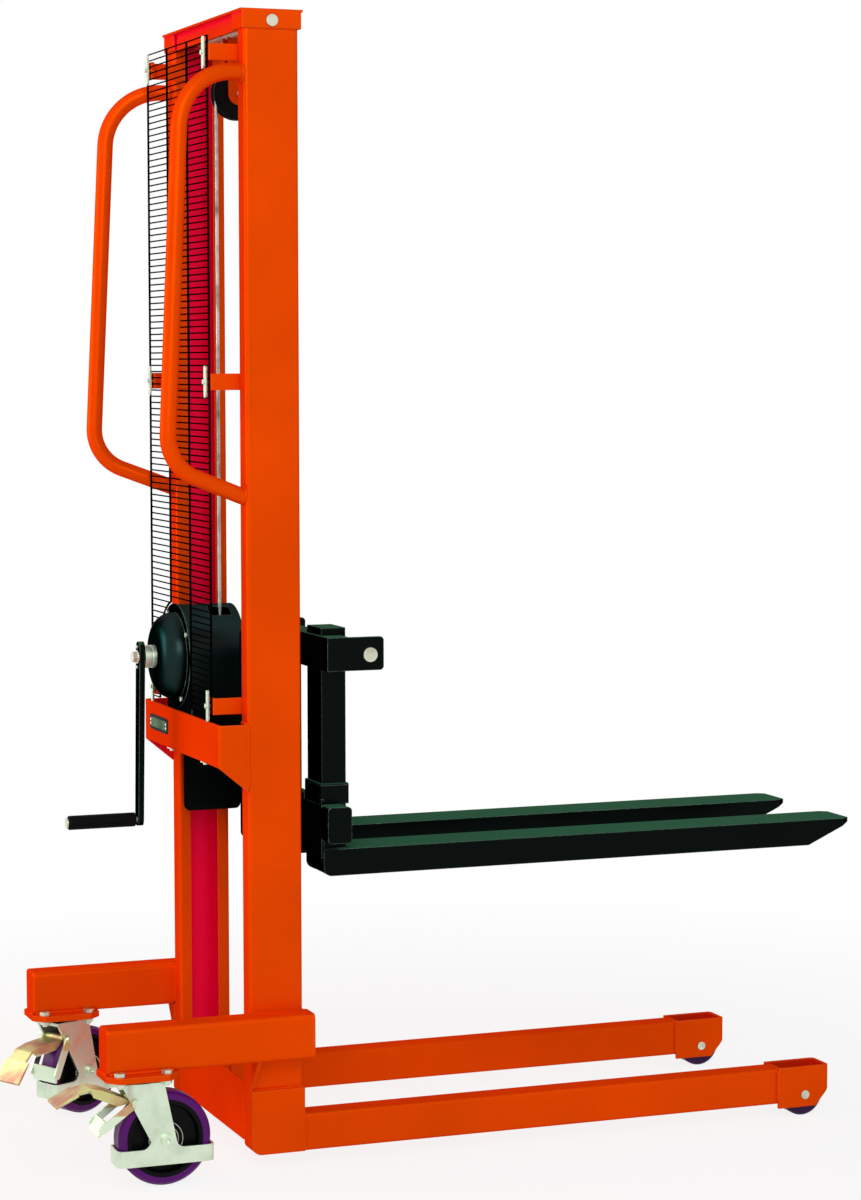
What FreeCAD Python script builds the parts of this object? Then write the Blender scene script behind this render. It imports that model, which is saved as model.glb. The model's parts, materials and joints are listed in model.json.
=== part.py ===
import FreeCAD, Part
import math
import os

# Hand winch stacker: twin channel mast, straddle legs, crank winch, rope hoist and fork carriage.
# Millimetres, +X towards the fork tips, +Y to the left, +Z up, floor at zero.
# Pieces are drawn about the middle of the mast and moved to the middle of the outline at the end.

V = FreeCAD.Vector
X_AXIS = V(1, 0, 0)
Y_AXIS = V(0, 1, 0)
Z_AXIS = V(0, 0, 1)

# Fits and seats
running_fit = 0.05
free_gap = 0.3
hole_slack = 0.2
pin_proud = 2.0
margin = 1.0

# Mast: two lipped channels with their slots facing each other
mast_span = 460.0
mast_depth = 95.0
mast_width = 40.0
mast_wall = 5.0
mast_lip = 22.0
mast_bend = 6.0
ground_clearance = 25.0

# Mast shoe, base crossbeam and straddle legs
shoe_top = 136.0
shoe_side = 10.0
shoe_sole = 8.0
shoe_round = 17.0
base_web = 4.0
base_low = 42.0
base_high = 143.0
base_flange = 70.0
leg_width = 50.0
leg_height = 65.0
leg_wall = 4.0
leg_round = 6.0

# Front roller and its bracket
roller_x = 1008.0
roller_radius = 40.0
roller_edge = 3.0
roller_side = 3.0
roller_space = 4.0
roller_pin = 16.0
bracket_lap = 9.0
bracket_wall = 6.0
bracket_front_gap = 3.0
bracket_rise = 2.0
bracket_drop = 7.0
bracket_nose = 32.0
bracket_nose_run = 27.0
bracket_round = 8.0

# Rear beams that carry the casters
beam_width = 55.0
beam_height = 77.0
beam_rear = -313.0
beam_wall = 4.0
beam_round = 9.0
gusset_thick = 6.0
gusset_toe = 4.0

# Crosshead, tie rod and rope sheave
crosshead_top = 1962.0
crosshead_skirt = 32.0
crosshead_wall = 4.0
crosshead_lip = 3.0
crosshead_cap = 59.0
crosshead_recess = 6.0
tie_rod = 20.0
tie_rod_low = 13.0
tie_rod_proud = 3.0
rope_size = 6.0
sheave_x = 12.0
sheave_drop = 122.0
sheave_radius = 45.0
sheave_pitch = 38.0
sheave_width = 22.0
sheave_rim = 3.0
sheave_bolt = 10.0
sheave_bolt_head = 14.0
cheek_gap = 1.0
cheek_wall = 6.0
cheek_width = 40.0
cheek_round = 19.0

# Push handles
handle_tube = 28.0
handle_wall = 3.0
handle_edge = 18.0
handle_splay = 0.192
handle_drop = 105.0
handle_height = 708.0
handle_top_reach = 110.5
handle_top_rise = 5.0
handle_low_reach = 141.5
handle_low_rise = 54.0
handle_crown_bend = 100.0
handle_elbow_bend = 75.0

# Winch shelf folded from plate
shelf_reach = 51.5
shelf_wall = 5.0
shelf_high = 764.0
shelf_height = 72.0
shelf_gusset_drop = 43.0
shelf_inset = 2.0

# Wire guard behind the mast
guard_reach = 48.5
guard_wire = 3.0
guard_edge = 8.0
guard_strip = 40.0
guard_drop = 42.0
guard_pitch = 11.0
guard_foot_gap = 11.5
guard_winch_gap = 10.5
guard_end_rows = 2
guard_bar_height = 28.0
guard_bar_thick = 5.0
guard_bar_overlap = 20.0
guard_tab = 30.0
clip_size = (3.5, 10.0, 54.0)
clip_round = 4.5
clip_edge = 19.0
clip_screw = 5.0
clip_screw_head = (8.5, 3.0)

# Winch: drum axis along X, crank towards the operator
winch_z = 860.0
drum_pitch = 38.0
drum_rear = -46.0
drum_length = 40.0
drum_flange = 70.0
drum_flange_wall = 5.0
housing_radius = 90.0
housing_wall = 4.0
housing_space = 3.0
housing_base_y = 8.0
housing_base_half = 118.0
housing_base_thick = 8.0
winch_bolt_edge = 15.0
winch_bolt_space = 13.0
winch_bolt_inset = (12.0, 21.0)
winch_bolt = 10.0
cover_flange = 92.0
cover_flange_thick = 3.0
cover_radius = 76.0
cover_round = 34.0
cover_depth = 41.3
cover_wall = 4.0
cover_screw = 5.0
cover_screw_head = (8.0, 3.5)
cover_screw_turns = (60.0, 150.0, 240.0, 330.0)
rope_slot_half = 14.0
rope_slot_edge = 2.0

# Planetary gear inside the cover
gear_module = 2.0
sun_teeth = 18
planet_teeth = 18
ring_teeth = 54
gear_width = 12.0
gear_backlash = 0.25
gear_addendum = 0.8
gear_dedendum = 1.25
ring_wall = 9.0
planet_pin = 10.0
carrier_thick = 5.0
carrier_gap = 2.0
carrier_space = 1.3
carrier_hub = 40.0
crank_shaft = 16.0

# Crank
crank_hub = 40.0
crank_hub_proud = 20.0
crank_groove = 3.0
crank_arm_thick = 10.0
crank_arm_width = 26.0
crank_arm_tip = 23.0
crank_head_rise = 14.0
crank_head_screw = (6.0, 2.5)
crank_head_screw_reach = 18.0
crank_throw = 290.0
crank_lean = 3.0
crank_nut = (18.0, 10.0)
crank_washer = (24.0, 2.0)
grip_size = 25.0
grip_edge = 2.0
grip_length = 122.0
grip_gap = 3.0
grip_pin = 12.0
grip_cap = (18.0, 3.0)

# Fork carriage
lift_gap = 14.0
lift_plate = 10.0
lift_plate_rear = -42.0
lift_plate_front = 62.0
lift_plate_rise = 17.0
lift_plate_step = 14.0
lift_plate_round = 10.0
guide_inset = 47.0
guide_side = 2.0
guide_edge = 2.0
guide_axle = 24.0
guide_collar = 34.0
bar_rear = 100.5
bar_wall = 5.0
bar_inset = 16.5
upper_bar_rise = 235.0
upper_bar_height = 58.0
upper_bar_depth = 40.0
ear_reach = 203.0
ear_round = 7.0
lower_bar_gap = 15.5
lower_bar_height = 63.0
lower_bar_depth = 43.5
lower_web_drop = 29.0
lower_web_rise = 10.0
lower_web_inset = 12.0
shaft_size = 25.0
shaft_inset = 25.0
shaft_rise = 27.0
shaft_proud = 3.0
tie_thick = 20.0
tie_rise = 28.0
tie_height = 60.0
rib_thick = 12.0
rib_inset = 60.0
rib_end = 16.0
socket_size = 15.0
socket_height = 35.0
socket_shoulder = 21.0
socket_mouth = 1.0

# Forks
fork_centre = 128.0
post_depth = 44.0
post_width = 76.0
post_rise = 13.0
post_wall = 5.0
blade_width = 96.0
blade_high = 533.5
blade_height = 46.5
blade_wall = 6.0
blade_tip = 1134.0
tip_width = 78.0
tip_taper = 14.0
tip_undercut = 85.0
tip_thick = 8.0
heel_round = 15.0
collar_wall = 5.0
collar_height = 33.0

# Casters
caster_inset = 59.0
caster_trail = 42.0
caster_wheel = 80.0
caster_head_gap = 13.0
caster_tread = 14.0
caster_tread_inset = 2.0
caster_shoulder = 6.0
caster_wheel_width = 45.0
caster_crown = 5.0
caster_hub = 22.0
caster_rim = 10.0
caster_draft = 3.0
caster_web = 16.0
caster_axle = 12.0
caster_axle_head = (20.0, 6.0)
caster_axle_socket = (9.0, 4.0)
caster_side_gap = 3.0
yoke_wall = 5.0
yoke_roof = 5.6
yoke_head = (-36.0, 38.0)
yoke_waist = (15.0, 59.0)
yoke_waist_drop = 2.0
yoke_flare = (8.0, 2.0)
yoke_fillet = 14.0
guard_ring = (38.0, 66.0)
guard_ring_gap = 4.0
guard_ring_wall = 3.0
guard_ring_round = 12.0
kingpin = 14.0
kingpin_top = 1.0
race_radius = 36.0
race_height = 6.0
swivel_gap = 0.4
plate_half_x = 62.0
plate_edge = 14.5
plate_chamfer = 20.0
plate_thick = 10.0
caster_bolt_x = 40.0
caster_bolt_gap = 10.5
caster_bolt = 10.0
bolt_head = (17.0, 6.5)
bolt_nut_height = 6.0
bolt_end = 4.0
left_swivel = 27.0
pedal_gap = 6.7
pedal_lean = 129.4
pedal_pin = 8.0
pedal_pin_head = (14.0, 5.0)
pedal_width = 44.0
pedal_pad_width = 62.0
pedal_sheet = 4.0
pedal_skirt = (6.0, 16.0, 18.0)
pedal_press = 30.0
pedal_steps = ((0.0, 0.0), (-27.0, 13.0), (-52.0, 24.0), (-74.0, 29.0), (-95.0, 23.0), (-133.0, 5.0))
brake_gap = 1.0
brake_shoe = 4.0
brake_shoe_zs = (70.0, 98.0)
brake_foot_z = 84.0
brake_arm_width = 13.0
brake_arm_thick = 4.0

# Places that follow from the sizes above
mast_out = mast_span / 2
mast_in = mast_out - mast_width
mast_rear = -mast_depth / 2
mast_front = mast_depth / 2
mast_slot = mast_depth - 2 * mast_lip
mast_foot = ground_clearance + shoe_sole
mast_head = crosshead_top - crosshead_wall
leg_out = mast_in + leg_width
leg_top = ground_clearance + leg_height
leg_mid = mast_in + leg_width / 2
leg_front = roller_x - roller_radius - roller_space
roller_width = leg_width - 2 * roller_side
bracket_rear = leg_front - bracket_lap
bracket_high = leg_top + bracket_rise
bracket_low = ground_clearance - bracket_drop
tie_rod_z = crosshead_top - crosshead_skirt + tie_rod_low
sheave_z = crosshead_top - sheave_drop
handle_foot_y = mast_out - handle_edge
handle_top = crosshead_top - handle_drop
handle_bottom = handle_top - handle_height
handle_crown = (mast_rear - handle_top_reach, handle_top + handle_top_rise)
handle_elbow = (mast_rear - handle_low_reach, handle_bottom + handle_low_rise)
rope_radius = rope_size / 2
winch_y = drum_pitch
drum_core = drum_pitch - rope_radius
drum_front = drum_rear + drum_length
shelf_rear = mast_rear - shelf_reach
shelf_low = shelf_high - shelf_height
shelf_gusset_low = shelf_low - shelf_gusset_drop
housing_rear = shelf_rear + shelf_wall + free_gap
housing_front = drum_front + drum_flange_wall + housing_space + housing_wall
shelf_front = housing_front - shelf_inset
cover_face = housing_rear - cover_depth
winch_bolt_half = housing_base_half - winch_bolt_edge
winch_bolt_x = (housing_rear + winch_bolt_inset[0], housing_front - winch_bolt_inset[1])
carrier_rear = housing_rear - carrier_space - carrier_thick
gear_rear = carrier_rear - carrier_gap - gear_width
crank_hub_end = cover_face - crank_hub_proud
crank_arm_rear = crank_hub_end - crank_arm_thick
guard_back = mast_rear - guard_reach
guard_half = mast_in - guard_edge
guard_column = guard_half / 3
guard_open_left = guard_half - guard_strip
guard_top = crosshead_top - guard_drop
guard_rows = int((guard_top - shelf_high - guard_foot_gap) / guard_pitch)
guard_open_rows = int((guard_top - winch_z - cover_flange - guard_winch_gap) / guard_pitch)
guard_bar_rows = (guard_end_rows, guard_rows // 2, guard_rows - guard_end_rows)
clip_y = mast_in - clip_edge
rope_rear_x = sheave_x - sheave_pitch
rope_front_x = sheave_x + sheave_pitch
guide_radius = mast_depth / 2 - mast_wall - free_gap
guide_width = mast_width - 2 * mast_wall - 2 * guide_side
guide_centre_y = (mast_in + mast_out) / 2
blade_low = blade_high - blade_height
lower_bar_low = blade_high + lower_bar_gap
lower_bar_high = lower_bar_low + lower_bar_height
upper_bar_low = lower_bar_high + upper_bar_rise
upper_bar_high = upper_bar_low + upper_bar_height
bar_half = mast_out - bar_inset
lift_plate_y = mast_in - lift_gap - lift_plate
lift_plate_low = lower_bar_low + lift_plate_step
lift_plate_high = upper_bar_high + lift_plate_rise
guide_heights = (lift_plate_low + guide_inset, lift_plate_high - guide_inset)
shaft_x = ear_reach - shaft_inset
shaft_z = upper_bar_low + shaft_rise
tie_low = lower_bar_high + tie_rise
tie_high = tie_low + tie_height
socket_top = tie_high + socket_height
post_rear = bar_rear + bar_wall
post_front = post_rear + post_depth
post_top = upper_bar_high + post_rise
yoke_roof_low = 2 * caster_wheel + caster_head_gap
yoke_top = yoke_roof_low + yoke_roof
plate_low = yoke_top + swivel_gap + race_height
beam_bottom = plate_low + plate_thick
beam_top = beam_bottom + beam_height
beam_mid = mast_out + beam_width / 2
caster_x = beam_rear + caster_inset
caster_bolt_half = (caster_bolt_x, beam_width / 2 + caster_bolt_gap)
plate_half = (plate_half_x, caster_bolt_half[1] + plate_edge)
guard_ring_half = caster_wheel + guard_ring_gap
yoke_in = caster_wheel_width / 2 + caster_side_gap
yoke_out = yoke_in + yoke_wall
brake_in = yoke_out + free_gap
brake_out = brake_in + brake_arm_thick
pedal_reach = caster_wheel + pedal_gap
pedal_pivot = (caster_trail + pedal_reach * math.cos(math.radians(pedal_lean)),
               caster_wheel + pedal_reach * math.sin(math.radians(pedal_lean)))
pedal_profile = [(pedal_pivot[0] + x, pedal_pivot[1] + z) for x, z in pedal_steps]
brake_face = caster_trail - caster_wheel - brake_gap
brake_foot = (brake_face - brake_shoe / 2, brake_foot_z)
sun_pitch = gear_module * sun_teeth / 2
planet_pitch = gear_module * planet_teeth / 2
ring_pitch = gear_module * ring_teeth / 2
planet_orbit = sun_pitch + planet_pitch
parts = {}


def box(xs, ys, zs):
    """Block between two limits on each axis."""
    corner = V(min(xs), min(ys), min(zs))
    return Part.makeBox(abs(xs[1] - xs[0]), abs(ys[1] - ys[0]), abs(zs[1] - zs[0]), corner)


def rod(diameter, start, direction, length):
    """Round bar."""
    return Part.makeCylinder(diameter / 2, length, start, direction)


def plate(points, axis, low, high):
    """Flat outline pushed along an axis: outline is (y, z), (x, z) or (x, y)."""
    place = {"x": lambda a, b: V(low, a, b), "y": lambda a, b: V(a, low, b), "z": lambda a, b: V(a, b, low)}
    push = {"x": X_AXIS, "y": Y_AXIS, "z": Z_AXIS}
    corners = [place[axis](a, b) for a, b in points]
    wire = Part.makePolygon(corners + corners[:1])
    return Part.Face(wire).extrude(push[axis] * (high - low))


def edges_along(shape, direction, chosen=None):
    """Straight edges parallel to a direction, picked by their middle point."""
    found = []
    for edge in shape.Edges:
        if not isinstance(edge.Curve, Part.Line):
            continue
        ends = edge.Vertexes
        run = ends[-1].Point.sub(ends[0].Point)
        if run.Length < 1e-6 or run.cross(direction).Length > 1e-6 * run.Length:
            continue
        middle = (ends[0].Point + ends[-1].Point) * 0.5
        if chosen is None or chosen(middle):
            found.append(edge)
    return found


def rounded(shape, direction, radius, chosen=None):
    """Fillet the straight edges that run along a direction."""
    return shape.makeFillet(radius, edges_along(shape, direction, chosen))


def mirrored(shape):
    """The other hand, across the middle plane of the truck."""
    return shape.mirror(V(0, 0, 0), Y_AXIS)


def both_sides(name, left):
    """Store a left piece and its right hand twin."""
    parts[name + "_left"] = left
    parts[name + "_right"] = mirrored(left)


def paired(name, left):
    """Store a left piece and its right hand twin as one group."""
    parts[name] = Part.makeCompound([left, mirrored(left)])


def revolved(profile, start, axis):
    """Closed outline of (along, radius) points turned about an axis through start."""
    side = Z_AXIS if abs(axis.z) < 0.5 else X_AXIS
    corners = [start + axis * along + side * radius for along, radius in profile]
    face = Part.Face(Part.makePolygon(corners + corners[:1]))
    return face.revolve(start, axis, 360)


def hexagon(across, start, axis, height):
    """Six-sided nut or bolt head about a Z or X axis."""
    points = []
    for k in range(6):
        turn = math.radians(60 * k)
        reach = across / math.sqrt(3)
        points.append((reach * math.cos(turn), reach * math.sin(turn)))
    if abs(axis.z) > 0.5:
        flat = [(start.x + a, start.y + b) for a, b in points]
        return plate(flat, "z", start.z, start.z + axis.z * height)
    flat = [(start.y + a, start.z + b) for a, b in points]
    return plate(flat, "x", start.x, start.x + axis.x * height)


def pipe_path(points, bends):
    """Straight runs joined by tangent arcs at the inner points."""
    edges = []
    begin = points[0]
    for k, bend in enumerate(bends):
        corner = points[k + 1]
        inward = (points[k] - corner).normalize()
        onward = (points[k + 2] - corner).normalize()
        half = inward.getAngle(onward) / 2
        reach = bend / math.tan(half)
        arc_start = corner + inward * reach
        arc_end = corner + onward * reach
        bisector = (inward + onward).normalize()
        arc_middle = corner + bisector * (bend / math.sin(half) - bend)
        edges.append(Part.LineSegment(begin, arc_start).toShape())
        edges.append(Part.Arc(arc_start, arc_middle, arc_end).toShape())
        begin = arc_end
    edges.append(Part.LineSegment(begin, points[-1]).toShape())
    return Part.Wire(edges)


def swept(path, diameter):
    """Round bar that follows a path."""
    first = path.Edges[0]
    start = first.valueAt(first.FirstParameter)
    ahead = first.tangentAt(first.FirstParameter)
    ring = Part.Wire([Part.Circle(start, ahead, diameter / 2).toShape()])
    return path.makePipeShell([ring], True, False)


def hex_bolt(diameter, start, axis, grip):
    """Bolt with its head above the seat at start and its nut below the grip length."""
    head = hexagon(bolt_head[0], start, axis, bolt_head[1])
    length = grip + bolt_nut_height + bolt_end
    shank = rod(diameter, start - axis * length, axis, length)
    nut = hexagon(bolt_head[0], start - axis * grip, axis * -1, bolt_nut_height)
    return head.fuse(shank).fuse(nut).removeSplitter()


def make_mast():
    """Lipped channel, round at the heel like its shoe."""
    outline = [
        (mast_rear, mast_out), (mast_front, mast_out), (mast_front, mast_in), (mast_slot / 2, mast_in),
        (mast_slot / 2, mast_in + mast_wall), (mast_front - mast_wall, mast_in + mast_wall),
        (mast_front - mast_wall, mast_out - mast_wall), (mast_rear + mast_wall, mast_out - mast_wall),
        (mast_rear + mast_wall, mast_in + mast_wall), (-mast_slot / 2, mast_in + mast_wall),
        (-mast_slot / 2, mast_in), (mast_rear, mast_in),
    ]
    channel = plate(outline, "z", mast_foot, mast_head)
    channel = rounded(channel, Z_AXIS, mast_bend, lambda p: abs(abs(p.x) - mast_front) < 0.01)
    rod_hole = rod(tie_rod + hole_slack, V(0, 0, tie_rod_z), Y_AXIS, mast_span)
    both_sides("mast", channel.cut(rod_hole).cut(heel_corner()))


def heel_corner():
    """Material outside the round heel of mast and shoe."""
    ys = (mast_in - margin, leg_out + margin)
    corner = box((mast_rear - margin, mast_rear + shoe_round), ys,
                 (ground_clearance - margin, ground_clearance + shoe_round))
    centre = V(mast_rear + shoe_round, ys[0], ground_clearance + shoe_round)
    return corner.cut(rod(2 * shoe_round, centre, Y_AXIS, ys[1] - ys[0]))


def make_base():
    """Shoes, crossbeam between them, legs, brackets and roller axles."""
    shoe = box((mast_rear, mast_front), (mast_in, mast_out + shoe_side), (ground_clearance, shoe_top))
    shoe = shoe.cut(box((mast_rear, mast_front), (mast_in, mast_out), (mast_foot, shoe_top)))
    paired("mast_shoes", shoe.cut(heel_corner()))

    web = box((mast_rear, mast_rear + base_web), (-mast_in, mast_in), (base_low, base_high))
    flange = box((mast_rear, mast_rear + base_flange), (-mast_in, mast_in), (base_low, base_low + base_web))
    parts["base_crossbeam"] = web.fuse(flange).removeSplitter()

    leg = box((mast_front, leg_front), (mast_in, leg_out), (ground_clearance, leg_top))
    leg = rounded(leg, X_AXIS, leg_round)
    bore = box((mast_front, leg_front), (mast_in + leg_wall, leg_out - leg_wall),
               (ground_clearance + leg_wall, leg_top - leg_wall))
    both_sides("leg", leg.cut(bore))

    front = roller_x + roller_radius + bracket_front_gap + bracket_wall
    ys = (mast_in - bracket_wall, leg_out + bracket_wall)
    shell = box((bracket_rear, front), ys, (bracket_low, bracket_high))
    shell = rounded(shell, Z_AXIS, bracket_round, lambda p: p.x > front - margin)
    inside = box((bracket_rear, front - bracket_wall), (mast_in, leg_out), (bracket_low, bracket_high))
    shell = shell.cut(inside)
    nose = [(front, bracket_low), (front, bracket_low + bracket_nose),
            (front - bracket_nose_run, bracket_low)]
    shell = shell.cut(plate(nose, "y", ys[0], ys[1]))
    pin_start = V(roller_x, ys[0], roller_radius)
    paired("roller_brackets", shell.cut(rod(roller_pin, pin_start, Y_AXIS, ys[1] - ys[0])))
    paired("roller_axles", rod(roller_pin, pin_start - Y_AXIS * pin_proud, Y_AXIS,
                              ys[1] - ys[0] + 2 * pin_proud))


def make_front_roller():
    """Steel core in a moulded tread, one solid each side."""
    half = roller_width / 2
    bore = roller_pin / 2 + running_fit
    edge = roller_edge
    profile = [(-half, bore), (-half, roller_radius - edge), (edge - half, roller_radius),
               (half - edge, roller_radius), (half, roller_radius - edge), (half, bore)]
    both_sides("front_roller", revolved(profile, V(roller_x, leg_mid, roller_radius), Y_AXIS))


def make_rear_beams():
    """Rear outriggers outside the mast, with end caps and gussets."""
    ys = (mast_out, mast_out + beam_width)
    tube = box((beam_rear, mast_front), ys, (beam_bottom, beam_top))
    tube = rounded(tube, X_AXIS, beam_round)
    tube = rounded(tube, Z_AXIS, beam_wall, lambda p: p.x < beam_rear + margin)
    bore = box((beam_rear + beam_wall, mast_front), (ys[0] + beam_wall, ys[1] - beam_wall),
               (beam_bottom + beam_wall, beam_top - beam_wall))
    cap = box((mast_front, mast_front + beam_wall), ys, (beam_bottom, beam_top))
    cap = rounded(cap, X_AXIS, beam_round)
    both_sides("rear_beam", Part.makeCompound([tube.cut(bore), cap]))

    outline = [(mast_out, beam_bottom), (ys[1] - beam_round, beam_bottom),
               (mast_out + gusset_toe, shoe_top), (mast_out, shoe_top)]
    paired("beam_gussets", plate(outline, "x", mast_rear, mast_rear + gusset_thick))


def make_crosshead():
    """Folded cap over both masts, tie rod, sheave bracket and sheave."""
    low = crosshead_top - crosshead_skirt
    out = mast_out + crosshead_wall
    xs = (mast_rear - crosshead_wall, mast_front + crosshead_wall)
    roof = box((xs[0] - crosshead_lip, xs[1] + crosshead_lip), (-out, out), (mast_head, crosshead_top))
    skirt = box(xs, (-out, out), (low, mast_head))
    skirt = skirt.cut(box((mast_rear, mast_front), (-mast_out, mast_out), (low, mast_head)))
    middle = out - crosshead_cap
    skirt = skirt.cut(box((xs[0], mast_rear), (-middle, middle), (low, mast_head)))
    set_back = box((xs[0] + crosshead_recess, mast_rear + crosshead_recess), (-mast_in, mast_in),
                   (low, mast_head))
    head = roof.fuse(skirt).fuse(set_back).removeSplitter()
    rod_start = V(0, -out - tie_rod_proud, tie_rod_z)
    rod_length = 2 * (out + tie_rod_proud)
    parts["crosshead"] = head.cut(rod(tie_rod + hole_slack, rod_start, Y_AXIS, rod_length))

    inner = sheave_width / 2 + cheek_gap
    lower = sheave_z - cheek_width / 2
    cheek = box((sheave_x - cheek_width / 2, sheave_x + cheek_width / 2), (inner, inner + cheek_wall),
                (lower, mast_head))
    cheek = rounded(cheek, Y_AXIS, cheek_round, lambda p: p.z < lower + margin)
    pair = Part.makeCompound([cheek, mirrored(cheek)])
    pair = pair.cut(rod(tie_rod + hole_slack, rod_start, Y_AXIS, rod_length))
    bolt_half = inner + cheek_wall
    bolt_start = V(sheave_x, -bolt_half, sheave_z)
    parts["sheave_bracket"] = pair.cut(rod(sheave_bolt, bolt_start, Y_AXIS, 2 * bolt_half))
    pin = rod(sheave_bolt, bolt_start, Y_AXIS, 2 * bolt_half)
    for side in (-1, 1):
        head_start = V(sheave_x, side * bolt_half, sheave_z)
        pin = pin.fuse(rod(sheave_bolt_head, head_start, Y_AXIS * side, bolt_head[1]))
    long_rod = rod(tie_rod, rod_start, Y_AXIS, rod_length)
    parts["head_pins"] = Part.makeCompound([long_rod, pin.removeSplitter()])

    half = sheave_width / 2
    wheel = revolved([(-half, sheave_bolt / 2 + running_fit), (-half, sheave_radius), (half, sheave_radius),
                      (half, sheave_bolt / 2 + running_fit)], V(sheave_x, 0, sheave_z), Y_AXIS)
    groove = rope_radius + free_gap
    flare = half - sheave_rim
    trough = revolved([(-flare, sheave_radius), (-groove, sheave_pitch), (groove, sheave_pitch),
                       (flare, sheave_radius)], V(sheave_x, 0, sheave_z), Y_AXIS)
    seat = Part.makeTorus(sheave_pitch, groove, V(sheave_x, 0, sheave_z), Y_AXIS)
    parts["sheave"] = wheel.cut(trough).cut(seat)


def make_rope():
    """Rope from the drum over the sheave, and its fall to the carriage."""
    foot_rise = math.sqrt((drum_pitch + rope_radius) ** 2 - drum_core ** 2) + rope_radius
    start = V(rope_rear_x, 0, winch_z + foot_rise)
    rear_top = V(rope_rear_x, 0, sheave_z)
    front_top = V(rope_front_x, 0, sheave_z)
    crest = V(sheave_x, 0, sheave_z + sheave_pitch)
    rise = Part.LineSegment(start, rear_top).toShape()
    path = Part.Wire([rise, Part.Arc(rear_top, crest, front_top).toShape()])
    parts["rope_over_sheave"] = swept(path, rope_size)
    parts["rope_fall"] = rod(rope_size, V(rope_front_x, 0, socket_top), Z_AXIS, sheave_z - socket_top)


def make_handles():
    """Bent tube from two points on the rear of a mast, splayed outwards."""
    def on_plane(x, z):
        return V(x, handle_foot_y + handle_splay * (mast_rear - x), z)

    points = [on_plane(mast_rear, handle_top), on_plane(*handle_crown),
              on_plane(*handle_elbow), on_plane(mast_rear, handle_bottom)]
    path = pipe_path(points, (handle_crown_bend, handle_elbow_bend))
    tube = swept(path, handle_tube).cut(swept(path, handle_tube - 2 * handle_wall))
    overshoot = box((mast_rear, 0), (0, mast_out), (0, crosshead_top))
    paired("handles", tube.cut(overshoot))


def make_winch_shelf():
    """Folded shelf with an upturned rear edge and side gussets."""
    rear = box((shelf_rear, shelf_rear + shelf_wall), (-mast_out, mast_out), (shelf_low, shelf_high))
    floor_out = mast_out - shelf_wall
    floor = box((shelf_rear, mast_rear), (-floor_out, floor_out), (shelf_low, shelf_low + shelf_wall))
    tongue_ys = (housing_base_y - housing_base_half, housing_base_y + housing_base_half)
    tongue = box((mast_rear, shelf_front), tongue_ys, (shelf_low, shelf_low + shelf_wall))
    outline = [(shelf_rear, shelf_high), (mast_rear, shelf_high), (mast_rear, shelf_gusset_low),
               (shelf_rear, shelf_low)]
    gusset = plate(outline, "y", mast_out - shelf_wall, mast_out)
    shelf = rear.fuse([floor, tongue, gusset, mirrored(gusset)]).removeSplitter()
    shelf = rounded(shelf, Z_AXIS, shelf_wall, lambda p: p.x < shelf_rear + 0.1)
    bolts = []
    top = shelf_low + shelf_wall + housing_base_thick
    for x in winch_bolt_x:
        for side in (-1, 1):
            seat = V(x, housing_base_y + side * winch_bolt_half, top)
            bolts.append(hex_bolt(winch_bolt, seat, Z_AXIS, housing_base_thick + shelf_wall))
            shelf = shelf.cut(rod(winch_bolt + hole_slack, seat - Z_AXIS * top, Z_AXIS, top))
    parts["winch_shelf"] = shelf
    return bolts


def make_guard():
    """Welded wire panel with a cut-out for the winch, its bars and clips."""
    def row_z(row):
        return guard_top - row * guard_pitch

    bars = []
    clips = []
    depth = mast_rear + guard_bar_overlap
    for row in guard_bar_rows:
        middle = row_z(row + 0.5)
        zs = (middle - guard_bar_height / 2, middle + guard_bar_height / 2)
        arm = box((guard_back, depth), (mast_in - guard_bar_thick, mast_in), zs)
        tab = box((guard_back, guard_back + guard_bar_thick), (mast_in - guard_tab, mast_in), zs)
        screw_start = V(guard_back - guard_wire - clip_size[0], clip_y, middle)
        screw_length = guard_wire + clip_size[0] + guard_bar_thick + pin_proud
        bar = arm.fuse(tab).removeSplitter().cut(rod(clip_screw, screw_start, X_AXIS, screw_length))
        bars += [bar, mirrored(bar)]
        strip = box((screw_start.x, screw_start.x + clip_size[0]),
                    (clip_y - clip_size[1] / 2, clip_y + clip_size[1] / 2),
                    (middle - clip_size[2] / 2, middle + clip_size[2] / 2))
        strip = rounded(strip, X_AXIS, clip_round)
        head = rod(clip_screw_head[0], screw_start, X_AXIS * -1, clip_screw_head[1])
        clip = strip.fuse(rod(clip_screw, screw_start, X_AXIS, screw_length)).fuse(head).removeSplitter()
        clips += [clip, mirrored(clip)]
    parts["guard_bars"] = Part.makeCompound(bars)
    parts["guard_clips"] = Part.makeCompound(clips)

    half_wire = guard_wire / 2
    low = row_z(guard_rows) - half_wire
    open_high = row_z(guard_open_rows) - half_wire
    side = guard_half + half_wire
    top = guard_top + half_wire
    open_right = half_wire - guard_column
    open_left = guard_open_left - half_wire
    outer = [(-side, low), (open_right, low), (open_right, open_high), (open_left, open_high),
             (open_left, low), (side, low), (side, top), (-side, top)]
    full = ((-guard_half, -guard_column), (-guard_column, guard_column), (guard_column, guard_half))
    beside_winch = ((-guard_half, -guard_column), (guard_open_left, guard_half))
    gaps = []
    for row in range(guard_rows):
        columns = full if row < guard_open_rows else beside_winch
        for low_y, high_y in columns:
            gaps.append((low_y + half_wire, high_y - half_wire,
                         row_z(row + 1) + half_wire, row_z(row) - half_wire))
    x = guard_back - guard_wire

    def outline_wire(points):
        corners = [V(x, y, z) for y, z in points]
        return Part.makePolygon(corners + corners[:1])

    wires = [outline_wire(outer)]
    for y0, y1, z0, z1 in gaps:
        wires.append(outline_wire([(y0, z0), (y0, z1), (y1, z1), (y1, z0)]))
    print("guard gaps", len(gaps))
    parts["guard_mesh"] = Part.Face(wires, "Part::FaceMakerBullseye").extrude(X_AXIS * guard_wire)


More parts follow.
